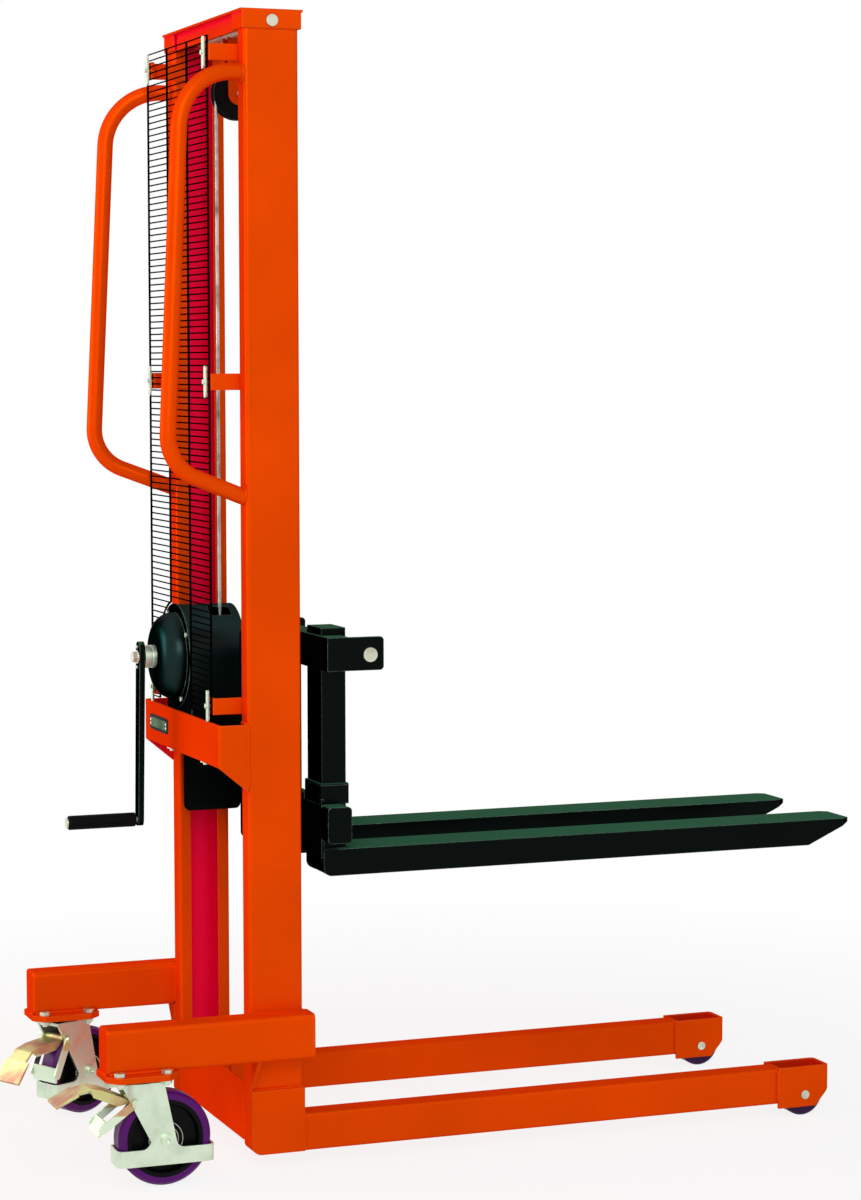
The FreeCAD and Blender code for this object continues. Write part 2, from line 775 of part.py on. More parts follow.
def make_winch_case():
    """Drum housing with a round top, the domed gear cover behind it and the cover screws."""
    axis_start = V(housing_rear, winch_y, winch_z)
    length = housing_front - housing_rear
    low = shelf_low + shelf_wall
    inner = housing_radius - housing_wall
    xs_in = (housing_rear + housing_wall, housing_front - housing_wall)
    case = rod(2 * housing_radius, axis_start, X_AXIS, length)
    post_ys = (winch_y - housing_radius, housing_base_y + winch_bolt_half - winch_bolt_space)
    case = case.fuse(box((housing_rear, housing_front), post_ys, (low, winch_z)))
    foot_ys = (housing_base_y - housing_base_half, housing_base_y + housing_base_half)
    foot_front = housing_front - housing_wall
    foot = box((housing_rear + housing_wall, foot_front), foot_ys, (low, low + housing_base_thick))
    case = case.fuse(foot).removeSplitter()
    case = case.cut(rod(2 * inner, V(xs_in[0], winch_y, winch_z), X_AXIS, xs_in[1] - xs_in[0]))
    case = case.cut(box(xs_in, (post_ys[0] + housing_wall, post_ys[1] - housing_wall), (low, winch_z)))
    slot_xs = (drum_rear, drum_front - rope_slot_edge)
    case = case.cut(box(slot_xs, (-rope_slot_half, rope_slot_half), (winch_z + drum_pitch, crosshead_top)))
    case = case.cut(rod(carrier_hub + 2 * running_fit, axis_start, X_AXIS, housing_wall))
    front_bore = V(housing_front - housing_wall, winch_y, winch_z)
    case = case.cut(rod(crank_shaft + 2 * running_fit, front_bore, X_AXIS, housing_wall))
    for x in winch_bolt_x:
        for side in (-1, 1):
            seat = V(x, housing_base_y + side * winch_bolt_half, low)
            case = case.cut(rod(winch_bolt + hole_slack, seat, Z_AXIS, housing_base_thick))

    depth = cover_depth

    def dish(radius, reach, rounding, hole):
        """Half section of a dish with a round shoulder, from its mouth to its face."""
        at = lambda along, r: V(housing_rear - along, winch_y, winch_z + r)
        turn = math.sqrt(0.5)
        shoulder = Part.Arc(at(reach - rounding, radius),
                            at(reach - rounding + rounding * turn, radius - rounding + rounding * turn),
                            at(reach, radius - rounding)).toShape()
        corners = [at(reach, radius - rounding), at(reach, hole), at(0, hole), at(0, radius),
                   at(reach - rounding, radius)]
        lines = [Part.LineSegment(a, b).toShape() for a, b in zip(corners, corners[1:])]
        face = Part.Face(Part.Wire(Part.__sortEdges__(lines + [shoulder])))
        return face.revolve(V(housing_rear, winch_y, winch_z), X_AXIS, 360)

    hub_hole = crank_hub / 2 + running_fit
    shell = dish(cover_radius, depth, cover_round, hub_hole)
    flange = rod(2 * cover_flange, V(housing_rear, winch_y, winch_z), X_AXIS * -1, cover_flange_thick)
    shell = shell.fuse(flange).removeSplitter()
    hollow_depth = depth - cover_wall
    shell = shell.cut(dish(cover_radius - cover_wall, hollow_depth, cover_round - cover_wall, 0.0))
    shell = shell.cut(rod(2 * hub_hole, V(cover_face, winch_y, winch_z), X_AXIS, depth))
    screws = []
    circle = (cover_radius + cover_flange) / 2
    for turn in cover_screw_turns:
        y = winch_y + circle * math.cos(math.radians(turn))
        z = winch_z + circle * math.sin(math.radians(turn))
        seat = V(housing_rear - cover_flange_thick, y, z)
        head = hexagon(cover_screw_head[0], seat, X_AXIS * -1, cover_screw_head[1])
        shank = rod(cover_screw, seat, X_AXIS, cover_flange_thick + housing_wall)
        screws.append(head.fuse(shank).removeSplitter())
        shell = shell.cut(rod(cover_screw + hole_slack, seat, X_AXIS, cover_flange_thick))
        case = case.cut(shank)
    parts["gear_cover"] = shell
    parts["winch_housing"] = case
    return screws


def gear_outline(teeth, tip, root, slack):
    """Involute gear outline as (y, z) points, a tooth centred on the first direction."""
    pitch = gear_module * teeth / 2
    pressure = math.radians(20)
    base = pitch * math.cos(pressure)

    def spread(radius):
        angle = math.acos(min(1.0, base / radius))
        return math.tan(angle) - angle

    half = math.pi / (2 * teeth) - slack / (2 * pitch) + spread(pitch)
    low = max(root, base)
    radii = [root] + [low + (tip - low) * k / 3 for k in range(1 if root >= base else 0, 4)]
    points = []
    for k in range(teeth):
        centre = 2 * math.pi * k / teeth
        for radius in radii:
            angle = centre - half + spread(max(radius, base))
            points.append((radius * math.cos(angle), radius * math.sin(angle)))
        for radius in reversed(radii):
            angle = centre + half - spread(max(radius, base))
            points.append((radius * math.cos(angle), radius * math.sin(angle)))
    return points


def gear_blank(outline, centre_y, centre_z, turn):
    """Toothed prism between the gear faces, turned about its own axis."""
    turned = []
    for a, b in outline:
        y = a * math.cos(turn) - b * math.sin(turn)
        z = a * math.sin(turn) + b * math.cos(turn)
        turned.append((centre_y + y, centre_z + z))
    return plate(turned, "x", gear_rear, gear_rear + gear_width)


def planet_places():
    """Direction and centre of each planet about the winch axis."""
    for k in range(3):
        turn = math.radians(90 + 120 * k)
        yield turn, winch_y + planet_orbit * math.cos(turn), winch_z + planet_orbit * math.sin(turn)


def make_winch_drive():
    """Ring gear, planets, drum with carrier, rope winding and the crank."""
    tip = gear_addendum * gear_module
    root = gear_dedendum * gear_module
    ring_bore = ring_pitch + root
    blank = rod(2 * (ring_bore + ring_wall), V(gear_rear, winch_y, winch_z), X_AXIS, gear_width)
    space = gear_outline(ring_teeth, ring_pitch + root, ring_pitch - tip, -gear_backlash)
    blank = blank.cut(gear_blank(space, winch_y, winch_z, math.radians(90) + math.pi / ring_teeth))
    rim_start = V(gear_rear + gear_width, winch_y, winch_z)
    rim_length = housing_rear - rim_start.x
    rim = rod(2 * (cover_radius - cover_wall - free_gap), rim_start, X_AXIS, rim_length)
    rim = rim.cut(rod(2 * (ring_bore + free_gap), rim_start, X_AXIS, rim_length))
    parts["ring_gear"] = blank.fuse(rim).removeSplitter()

    planet_shape = gear_outline(planet_teeth, planet_pitch + tip, planet_pitch - root, gear_backlash)
    pins = []
    for number, (turn, y, z) in enumerate(planet_places(), 1):
        bore = rod(planet_pin + 2 * running_fit, V(gear_rear, y, z), X_AXIS, gear_width)
        blank = gear_blank(planet_shape, y, z, turn + math.pi + math.pi / planet_teeth)
        parts["planet_gear_%d" % number] = blank.cut(bore)
        pins.append(rod(planet_pin, V(gear_rear, y, z), X_AXIS, carrier_rear - gear_rear))

    flange_rear = drum_rear - drum_flange_wall
    shaft_bore = crank_shaft / 2 + running_fit
    carrier_out = planet_orbit + planet_pin
    carrier_front = carrier_rear + carrier_thick
    hub_radius = carrier_hub / 2
    profile = [
        (carrier_rear, shaft_bore), (carrier_rear, carrier_out), (carrier_front, carrier_out),
        (carrier_front, hub_radius), (flange_rear, hub_radius), (flange_rear, drum_flange),
        (drum_rear, drum_flange), (drum_rear, drum_core), (drum_front, drum_core), (drum_front, drum_flange),
        (drum_front + drum_flange_wall, drum_flange), (drum_front + drum_flange_wall, crank_shaft / 2),
        (housing_front, crank_shaft / 2), (housing_front, 0.0), (drum_rear, 0.0), (drum_rear, shaft_bore),
    ]
    drum = revolved(profile, V(0, winch_y, winch_z), X_AXIS)
    parts["rope_drum"] = drum.fuse(pins).removeSplitter()
    winding = [(drum_rear, drum_core), (drum_rear, drum_pitch + rope_radius - free_gap),
               (drum_front, drum_pitch + rope_radius - free_gap), (drum_front, drum_core)]
    parts["rope_winding"] = revolved(winding, V(0, winch_y, winch_z), X_AXIS)

    shaft_start = V(crank_arm_rear, winch_y, winch_z)
    shaft_end = carrier_rear + carrier_hub / 2
    shaft = rod(crank_shaft, shaft_start, X_AXIS, shaft_end - crank_arm_rear)
    sun_shape = gear_outline(sun_teeth, sun_pitch + tip, sun_pitch - root, gear_backlash)
    shaft = shaft.fuse(gear_blank(sun_shape, winch_y, winch_z, math.radians(90)))
    hub_length = crank_hub_proud + 2 * cover_wall
    hub = rod(crank_hub, V(crank_hub_end, winch_y, winch_z), X_AXIS, hub_length)
    groove_start = V(cover_face - 3 * crank_groove, winch_y, winch_z)
    groove = rod(crank_hub + crank_groove, groove_start, X_AXIS, crank_groove)
    groove = groove.cut(rod(crank_hub - crank_groove, groove_start, X_AXIS, crank_groove))
    parts["crank_shaft"] = shaft.fuse(hub.cut(groove)).removeSplitter()


def crank_point(along):
    """Point on the crank arm at a distance below the shaft, in (y, z)."""
    lean = math.radians(crank_lean)
    return winch_y + along * math.sin(lean), winch_z - along * math.cos(lean)


def make_crank():
    """Forged arm, nut on the shaft and free turning grip."""
    end_y, end_z = crank_point(crank_throw)
    head_y, head_z = crank_point(-crank_head_rise)
    lean = math.radians(crank_lean)
    across = (crank_arm_width / 2 * math.cos(lean), crank_arm_width / 2 * math.sin(lean))
    narrow = (crank_arm_tip / 2 * math.cos(lean), crank_arm_tip / 2 * math.sin(lean))
    outline = [(head_y - across[0], head_z - across[1]), (head_y + across[0], head_z + across[1]),
               (end_y + narrow[0], end_z + narrow[1]), (end_y - narrow[0], end_z - narrow[1])]
    top = rod(crank_arm_width, V(crank_arm_rear, head_y, head_z), X_AXIS, crank_arm_thick)
    tip = rod(crank_arm_tip, V(crank_arm_rear, end_y, end_z), X_AXIS, crank_arm_thick)
    arm = plate(outline, "x", crank_arm_rear, crank_hub_end).fuse([top, tip]).removeSplitter()
    hub_face = V(crank_arm_rear, winch_y, winch_z)
    parts["crank_arm"] = arm.cut(rod(crank_shaft, hub_face, X_AXIS, crank_arm_thick))
    nut = hexagon(crank_nut[0], hub_face, X_AXIS * -1, crank_nut[1])
    nut = nut.fuse(rod(crank_washer[0], hub_face, X_AXIS * -1, crank_washer[1])).removeSplitter()
    fittings = [nut]
    for along in (-crank_head_screw_reach, crank_head_screw_reach):
        y, z = crank_point(along)
        fittings.append(rod(crank_head_screw[0], V(crank_arm_rear, y, z), X_AXIS * -1, crank_head_screw[1]))

    pin_start = V(crank_arm_rear, end_y, end_z)
    pin_end = grip_gap + grip_length
    cap = rod(grip_cap[0], pin_start - X_AXIS * (pin_end + free_gap), X_AXIS * -1, grip_cap[1])
    pin = rod(grip_pin, pin_start, X_AXIS * -1, pin_end + free_gap + grip_cap[1]).fuse(cap)
    parts["crank_fittings"] = Part.makeCompound(fittings + [pin.removeSplitter()])
    radius = grip_size / 2
    bore = grip_pin / 2 + running_fit
    profile = [(0, bore), (0, radius - grip_edge), (grip_edge, radius), (grip_length - grip_edge, radius),
               (grip_length, radius - grip_edge), (grip_length, bore)]
    parts["crank_grip"] = revolved(profile, V(crank_arm_rear - grip_gap, end_y, end_z), X_AXIS * -1)


def make_carriage():
    """Side plates with guide rollers, folded bars, ribbed cross tie, rope socket and shaft."""
    side_in = lift_plate_y
    side_out = lift_plate_y + lift_plate
    sides = (side_in, side_out)
    cheek = box((lift_plate_rear, lift_plate_front), sides, (lift_plate_low, lift_plate_high))
    cheek = rounded(cheek, Y_AXIS, lift_plate_round)
    roller_in = guide_centre_y - guide_width / 2
    roller_out = guide_centre_y + guide_width / 2
    axles = []
    for z, level in zip(guide_heights, ("low", "high")):
        stub = rod(guide_axle, V(0, side_in, z), Y_AXIS, roller_out - side_in)
        collar = rod(guide_collar, V(0, side_out, z), Y_AXIS, roller_in - free_gap - side_out)
        cheek = cheek.cut(rod(guide_axle, V(0, side_in, z), Y_AXIS, lift_plate))
        axle = stub.fuse(collar).removeSplitter()
        axles += [axle, mirrored(axle)]
        half = guide_width / 2
        bore = guide_axle / 2 + running_fit
        edge = guide_radius - guide_edge
        profile = [(-half, bore), (-half, edge), (guide_edge - half, guide_radius),
                   (half - guide_edge, guide_radius), (half, edge), (half, bore)]
        paired("guide_rollers_" + level, revolved(profile, V(0, guide_centre_y, z), Y_AXIS))
    paired("lift_plates", cheek)
    parts["guide_axles"] = Part.makeCompound(axles)

    slot = post_width + 2 * hole_slack
    upper = box((bar_rear, post_rear), (-bar_half, bar_half), (upper_bar_low, upper_bar_high))
    upper_flange = box((bar_rear, bar_rear + upper_bar_depth), (-bar_half, bar_half),
                       (upper_bar_high - bar_wall, upper_bar_high))
    ear = box((bar_rear, ear_reach), (bar_half - bar_wall, bar_half), (upper_bar_low, upper_bar_high))
    ear = rounded(ear, Y_AXIS, ear_round, lambda p: p.x > ear_reach - margin)
    upper = upper.fuse([upper_flange, ear, mirrored(ear)]).removeSplitter()
    lower_xs = (bar_rear, bar_rear + lower_bar_depth)
    lower = box(lower_xs, (-bar_half, bar_half), (lower_bar_low, lower_bar_high))
    lower = rounded(lower, Y_AXIS, ear_round)
    lower_in = bar_half - bar_wall
    lower = lower.cut(box((post_rear, bar_rear + lower_bar_depth), (-lower_in, lower_in),
                          (lower_bar_low + bar_wall, lower_bar_high - bar_wall)))
    web_half = mast_in - lower_web_inset
    web = box((bar_rear, post_rear), (-web_half, web_half),
              (lower_bar_low - lower_web_drop, lower_bar_high + lower_web_rise))
    lower = lower.fuse(web).removeSplitter()
    collar_half = post_width / 2 + collar_wall
    for side in (-1, 1):
        middle = side * fork_centre
        collar_ys = (middle - collar_half, middle + collar_half)
        lower = lower.cut(box((post_rear - collar_wall, ear_reach), collar_ys,
                              (lower_bar_high, lower_bar_high + collar_height)))
        ys = (middle - slot / 2, middle + slot / 2)
        passage = box((post_rear, ear_reach), ys, (blade_low, post_top))
        upper = upper.cut(passage)
        lower = lower.cut(passage)
    shaft_half = bar_half + shaft_proud
    shaft_start = V(shaft_x, -shaft_half, shaft_z)
    parts["upper_bar"] = upper.cut(rod(shaft_size, shaft_start, Y_AXIS, 2 * shaft_half))
    parts["lower_bar"] = lower
    parts["attachment_shaft"] = rod(shaft_size, shaft_start, Y_AXIS, 2 * shaft_half)

    tie_xs = (rope_front_x - tie_thick / 2, rope_front_x + tie_thick / 2)
    rib_tip = bar_rear - rib_end
    rib_outline = [(tie_xs[1], tie_low), (rib_tip, lower_bar_low), (bar_rear, lower_bar_low),
                   (bar_rear, upper_bar_high), (rib_tip, upper_bar_high), (tie_xs[1], tie_high)]
    rib = plate(rib_outline, "y", rib_inset, rib_inset + rib_thick)
    tie = box(tie_xs, (-side_in, side_in), (tie_low, tie_high))
    parts["cross_tie"] = tie.fuse([rib, mirrored(rib)]).removeSplitter()
    socket = [(0, 0.0), (0, socket_size / 2), (socket_shoulder, socket_size / 2),
              (socket_height, rope_radius + socket_mouth), (socket_height, 0.0)]
    parts["rope_socket"] = revolved(socket, V(rope_front_x, 0, tie_high), Z_AXIS)


def make_forks():
    """Welded fork: hollow post, open-bottomed blade with a tapered tip, and a collar above the lower bar."""
    half = blade_width / 2
    plan = [(post_rear, -half), (blade_tip - tip_taper, -half), (blade_tip, -tip_width / 2),
            (blade_tip, tip_width / 2), (blade_tip - tip_taper, half), (post_rear, half)]
    blade = plate(plan, "z", blade_low, blade_high)
    undercut = [(blade_tip - tip_undercut, blade_low), (blade_tip, blade_low),
                (blade_tip, blade_high - tip_thick)]
    blade = blade.cut(plate(undercut, "y", -blade_width, blade_width))
    post = box((post_rear, post_front), (-post_width / 2, post_width / 2), (blade_low, post_top))
    fork = blade.fuse(post).removeSplitter()
    fork = rounded(fork, Y_AXIS, heel_round, lambda p: p.x < post_rear + margin and p.z < blade_low + margin)
    inner = half - blade_wall
    trough_end = blade_tip - tip_undercut - blade_wall
    trough = box((post_front, trough_end), (-inner, inner), (blade_low, blade_high - blade_wall))
    core_half = post_width / 2 - post_wall
    core = box((post_rear + post_wall, post_front - post_wall), (-core_half, core_half),
               (blade_low, post_top - post_wall))
    reach = collar_wall
    ring = box((post_rear - reach, post_front + reach), (-post_width / 2 - reach, post_width / 2 + reach),
               (lower_bar_high, lower_bar_high + collar_height))
    ring = rounded(ring, Z_AXIS, collar_wall)
    ring = ring.cut(box((post_rear, post_front), (-post_width / 2, post_width / 2),
                        (lower_bar_high, lower_bar_high + collar_height)))
    fork = fork.cut(trough).cut(core).fuse(ring).removeSplitter()
    both_sides("fork", fork.translated(V(0, fork_centre, 0)))


def make_caster_plates():
    """Painted plates under the beams, their bolts and the fixed swivel races."""
    half_x, half_y = plate_half
    cut_x = half_x - plate_chamfer
    cut_y = half_y - plate_chamfer
    outline = [(-half_x, -cut_y), (-cut_x, -half_y), (cut_x, -half_y), (half_x, -cut_y),
               (half_x, cut_y), (cut_x, half_y), (-cut_x, half_y), (-half_x, cut_y)]
    slab = plate(outline, "z", plate_low, beam_bottom)
    bolts = []
    for sx in (-1, 1):
        for sy in (-1, 1):
            seat = V(sx * caster_bolt_half[0], sy * caster_bolt_half[1], beam_bottom)
            slab = slab.cut(rod(caster_bolt, seat - Z_AXIS * plate_thick, Z_AXIS, plate_thick))
            bolts.append(hex_bolt(caster_bolt, seat, Z_AXIS, plate_thick))
    slab = slab.cut(rod(kingpin + 2 * running_fit, V(0, 0, plate_low), Z_AXIS, plate_thick))
    race = rod(2 * race_radius, V(0, 0, plate_low - race_height), Z_AXIS, race_height)
    race = race.cut(rod(kingpin + 2 * running_fit, V(0, 0, plate_low - race_height), Z_AXIS, race_height))
    place = V(caster_x, beam_mid, 0)
    paired("caster_plates", slab.translated(place))
    paired("swivel_races", race.translated(place))
    left_bolts = [bolt.translated(place) for bolt in bolts]
    return left_bolts + [mirrored(bolt) for bolt in left_bolts]


def yoke_cheek():
    """Side of the yoke: wide head, narrow waist at the axle, flared into the toe guard band."""
    band_low, band_high = guard_ring
    left = caster_trail - guard_ring_half + guard_ring_round
    right = caster_trail + guard_ring_half - guard_ring_round
    waist_z = caster_wheel - yoke_waist_drop
    foot = (yoke_waist[0] - yoke_flare[0], yoke_waist[1] + yoke_flare[1])
    outline = [(yoke_head[0], yoke_top), (yoke_head[1], yoke_top), (yoke_waist[1], waist_z),
               (foot[1], band_high), (right, band_high), (right, band_low), (left, band_low),
               (left, band_high), (foot[0], band_high), (yoke_waist[0], waist_z)]
    cheek = plate(outline, "y", yoke_in, yoke_out)
    near_band = lambda p: abs(p.z - band_high) < 0.1 and foot[0] - margin < p.x < foot[1] + margin
    return rounded(cheek, Y_AXIS, yoke_fillet, near_band)


def brake_stirrup():
    """Two arms outside the yoke cheeks joined by the brake shoe, drawn with the brake on."""
    along = V(brake_foot[0] - pedal_pivot[0], 0, brake_foot[1] - pedal_pivot[1]).normalize()
    half = brake_arm_width / 2
    across = (-along.z * half, along.x * half)
    outline = [(pedal_pivot[0] + across[0], pedal_pivot[1] + across[1]),
               (brake_foot[0] + across[0], brake_foot[1] + across[1]),
               (brake_foot[0] - across[0], brake_foot[1] - across[1]),
               (pedal_pivot[0] - across[0], pedal_pivot[1] - across[1])]
    strip = plate(outline, "y", brake_in, brake_out)
    for x, z in (pedal_pivot, brake_foot):
        strip = strip.fuse(rod(brake_arm_width, V(x, brake_in, z), Y_AXIS, brake_arm_thick))
    pin_hole = V(pedal_pivot[0], brake_in, pedal_pivot[1])
    strip = strip.cut(rod(pedal_pin + 2 * running_fit, pin_hole, Y_AXIS, brake_arm_thick))
    shoe = box((brake_face - brake_shoe, brake_face), (-brake_in, brake_in), brake_shoe_zs)
    stirrup = strip.fuse([mirrored(strip), shoe]).removeSplitter()
    stirrup.rotate(V(pedal_pivot[0], 0, pedal_pivot[1]), Y_AXIS, pedal_press)
    return stirrup


def make_caster(name, swivel, pedal_turn, place):
    """One braked swivel caster, drawn about its swivel axis and then turned into place."""
    pieces = {}
    axle_start = V(caster_trail, 0, caster_wheel)
    cheek = yoke_cheek()
    roof = box(yoke_head, (-yoke_out, yoke_out), (yoke_roof_low, yoke_top))
    band_low, band_high = guard_ring
    ends = (caster_trail - guard_ring_half, caster_trail + guard_ring_half)
    band = box(ends, (-yoke_out, yoke_out), (band_low, band_high))
    band = rounded(band, Z_AXIS, guard_ring_round)
    hole_x = (ends[0] + guard_ring_wall, ends[1] - guard_ring_wall)
    hole = box(hole_x, (-yoke_in, yoke_in), (band_low, band_high))
    hole = rounded(hole, Z_AXIS, guard_ring_round - guard_ring_wall)
    yoke = roof.fuse([cheek, mirrored(cheek), band.cut(hole)]).removeSplitter()
    pin_out = brake_out
    across = 2 * pin_out
    yoke = yoke.cut(rod(caster_axle, axle_start - Y_AXIS * pin_out, Y_AXIS, across))
    pivot = V(pedal_pivot[0], -pin_out, pedal_pivot[1])
    yoke = yoke.cut(rod(pedal_pin, pivot, Y_AXIS, across))
    pieces["caster_yoke"] = yoke.cut(rod(kingpin, V(0, 0, yoke_roof_low), Z_AXIS, yoke_roof))
    stem = rod(kingpin, V(0, 0, yoke_roof_low), Z_AXIS, beam_bottom - kingpin_top - yoke_roof_low)

    axle = rod(caster_axle, axle_start - Y_AXIS * yoke_out, Y_AXIS, 2 * yoke_out)
    pin = rod(pedal_pin, pivot, Y_AXIS, across)
    head, head_out = caster_axle_head
    socket, socket_deep = caster_axle_socket
    for side in (-1, 1):
        out = Y_AXIS * side
        cap = rod(head, axle_start + out * yoke_out, out, head_out)
        cap = cap.cut(rod(socket, axle_start + out * (yoke_out + head_out - socket_deep), out, socket_deep))
        spacer = rod(2 * caster_axle, axle_start + out * yoke_in, out * -1, caster_side_gap - free_gap)
        axle = axle.fuse(cap).fuse(spacer)
        pin_end = V(pivot.x, side * pin_out, pivot.z)
        pin = pin.fuse(rod(pedal_pin_head[0], pin_end, out, pedal_pin_head[1]))
    pieces["caster_pins"] = Part.makeCompound([stem, axle.removeSplitter(), pin.removeSplitter()])

    half = caster_wheel_width / 2
    core_out = caster_wheel - caster_tread
    face = half - caster_tread_inset
    flat = face - caster_shoulder
    edge = caster_wheel - caster_crown
    tread = [(-face, core_out), (-face, edge), (-flat, caster_wheel), (flat, caster_wheel), (face, edge),
             (face, core_out)]
    pieces["caster_tread"] = revolved(tread, axle_start, Y_AXIS)
    bore = caster_axle / 2 + running_fit
    web = caster_web / 2
    rim = core_out - caster_rim
    slope = caster_hub + caster_draft
    lip = rim + caster_draft
    core = [(-half, bore), (-half, caster_hub), (-web, slope), (-web, rim), (-face, lip), (-face, core_out),
            (face, core_out), (face, lip), (web, rim), (web, slope), (half, caster_hub), (half, bore)]
    pieces["caster_core"] = revolved(core, axle_start, Y_AXIS)

    upper = pedal_profile
    lower = [(x, z - pedal_sheet) for x, z in reversed(upper)]
    sheet = plate(upper + lower, "y", -pedal_width / 2, pedal_width / 2)
    pad_end = upper[-1]
    pad_start = upper[-2]
    pad_outline = [pad_start, pad_end, (pad_end[0], pad_end[1] - pedal_sheet),
                   (pad_start[0], pad_start[1] - pedal_sheet)]
    pad = plate(pad_outline, "y", -pedal_pad_width / 2, pedal_pad_width / 2)
    tuck, back, deep = pedal_skirt
    crown = upper[3]
    skirt_outline = upper[:4] + [(crown[0] + tuck, crown[1] - back), (upper[1][0], upper[1][1] - deep)]
    skirts = [plate(skirt_outline, "y", side, side + pedal_sheet)
              for side in (-pedal_width / 2, pedal_width / 2 - pedal_sheet)]
    barrel = rod(pedal_pin + pedal_sheet, V(pivot.x, -pedal_width / 2, pivot.z), Y_AXIS, pedal_width)
    pedal = sheet.fuse([pad, barrel] + skirts).removeSplitter()
    pedal = pedal.cut(rod(pedal_pin + 2 * running_fit, pivot, Y_AXIS, across))
    pedal = Part.makeCompound([pedal, brake_stirrup()])
    pedal.rotate(V(pivot.x, 0, pivot.z), Y_AXIS, pedal_turn)
    pieces["caster_pedal"] = pedal

    for node, shape in pieces.items():
        shape.rotate(V(0, 0, 0), Z_AXIS, swivel)
        parts[node + name] = shape.translated(place)


def make_casters():
    """Left caster swung inwards with its brake pressed, right caster straight and free."""
    make_caster("_left", left_swivel, -pedal_press, V(caster_x, beam_mid, 0))
    make_caster("_right", 0.0, 0.0, V(caster_x, -beam_mid, 0))


def outline_shift():
    """Move that puts the middle of the outline over the origin."""
    whole = Part.makeCompound(list(parts.values())).BoundBox
    return V(-(whole.XMin + whole.XMax) / 2, -(whole.YMin + whole.YMax) / 2, 0)


def main():
    """Build every piece and write one file for each."""
    make_mast()
    make_base()
    make_front_roller()
    make_rear_beams()
    make_crosshead()
    make_rope()
    make_handles()
    bolts = make_winch_shelf()
    make_guard()
    bolts += make_winch_case()
    make_winch_drive()
    make_crank()
    make_carriage()
    make_forks()
    bolts += make_caster_plates()
    parts["hex_bolts"] = Part.makeCompound(bolts)
    make_casters()
    os.makedirs("parts", exist_ok=True)
    shift = outline_shift()
    for name, shape in parts.items():
        moved = shape.translated(shift)
        moved.exportStep("parts/" + name + ".step")
    print("pieces", len(parts), "moved by", shift)
    return shift


shift = main()
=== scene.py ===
import json
import math

import bpy
import numpy as np
from bpy.props import FloatProperty, FloatVectorProperty, IntProperty, PointerProperty
from mathutils import Matrix, Vector


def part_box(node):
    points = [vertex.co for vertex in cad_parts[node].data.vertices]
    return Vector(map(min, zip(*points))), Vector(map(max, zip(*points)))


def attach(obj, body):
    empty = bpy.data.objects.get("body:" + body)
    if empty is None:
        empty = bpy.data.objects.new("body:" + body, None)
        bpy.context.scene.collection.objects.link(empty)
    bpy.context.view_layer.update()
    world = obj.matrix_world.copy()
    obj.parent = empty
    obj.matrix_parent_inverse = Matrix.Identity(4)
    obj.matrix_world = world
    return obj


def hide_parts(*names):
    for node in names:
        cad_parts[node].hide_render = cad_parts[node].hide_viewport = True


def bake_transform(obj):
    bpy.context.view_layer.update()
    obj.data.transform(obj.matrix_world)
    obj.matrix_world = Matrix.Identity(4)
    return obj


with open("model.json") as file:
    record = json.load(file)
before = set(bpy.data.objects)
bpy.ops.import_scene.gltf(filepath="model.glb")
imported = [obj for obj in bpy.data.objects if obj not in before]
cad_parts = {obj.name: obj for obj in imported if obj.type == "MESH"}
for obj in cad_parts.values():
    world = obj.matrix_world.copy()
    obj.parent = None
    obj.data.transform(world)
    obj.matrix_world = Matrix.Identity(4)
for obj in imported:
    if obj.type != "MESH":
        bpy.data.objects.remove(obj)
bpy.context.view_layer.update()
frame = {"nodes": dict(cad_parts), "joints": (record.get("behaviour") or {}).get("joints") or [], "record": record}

bl_info = {
    "name": "Hand Winch Stacker",
    "version": (1, 0, 0),
    "blender": (4, 5, 0),
    "location": "View3D > Sidebar > Stacker",
    "description": "Dresses the packed frame of a hand winch stacker in paint, wire, rope and small parts",
    "category": "Object",
}

NODES = frame["nodes"]
MM = 0.001
FULL_TURN = 2 * math.pi

# The truck's own directions: towards the fork tips, to its left, and up.
AHEAD = (1, 0, 0)
LEFT = (0, 1, 0)
UP = (0, 0, 1)

# The middle of the mast on the floor: places below are millimetres from it, as the truck is measured.
MASTS = np.array([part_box("mast_left"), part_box("mast_right")])
MAST_MIDDLE = np.array([MASTS[..., 0].mean(), MASTS[..., 1].mean(), 0.0])


def linear(code):
    """Linear RGBA of an sRGB hex colour."""
    parts = [int(code[k:k + 2], 16) / 255 for k in (0, 2, 4)]
    levels = [p / 12.92 if p <= 0.04045 else ((p + 0.055) / 1.055) ** 2.4 for p in parts]
    return tuple(levels) + (1.0,)


def per_mm(size):
    """Texture scale at which one feature is this many millimetres wide."""
    return 1.0 / (size * MM)


def place(points):
    """Millimetres from the middle of the mast, as points of the row frame in metres."""
    return np.asarray(points, float) * MM + MAST_MIDDLE


def span(name):
    """Lowest and highest corner of a CAD node, in millimetres from the middle of the mast."""
    return (np.array(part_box(name)) - MAST_MIDDLE) / MM


def points_of(name):
    """Corner points of a CAD node, in millimetres from the middle of the mast."""
    vertices = NODES[name].data.vertices
    flat = np.empty(3 * len(vertices))
    vertices.foreach_get("co", flat)
    turn = np.array(NODES[name].matrix_world)
    return (flat.reshape(-1, 3) @ turn[:3, :3].T + turn[:3, 3] - MAST_MIDDLE) / MM


def joint(name):
    """A joint of the frame, with its place in metres and its axis."""
    return next(row for row in frame["joints"] if row["name"] == name)


def colour(code, name, words):
    """Colour property with an sRGB hex default."""
    return FloatVectorProperty(name=name, description=words, subtype="COLOR", size=4, min=0, max=1,
                               default=linear(code))


def length(size, name, words):
    """Length property, its default in millimetres."""
    return FloatProperty(name=name, description=words, default=size * MM, min=0,
                         subtype="DISTANCE", unit="LENGTH")


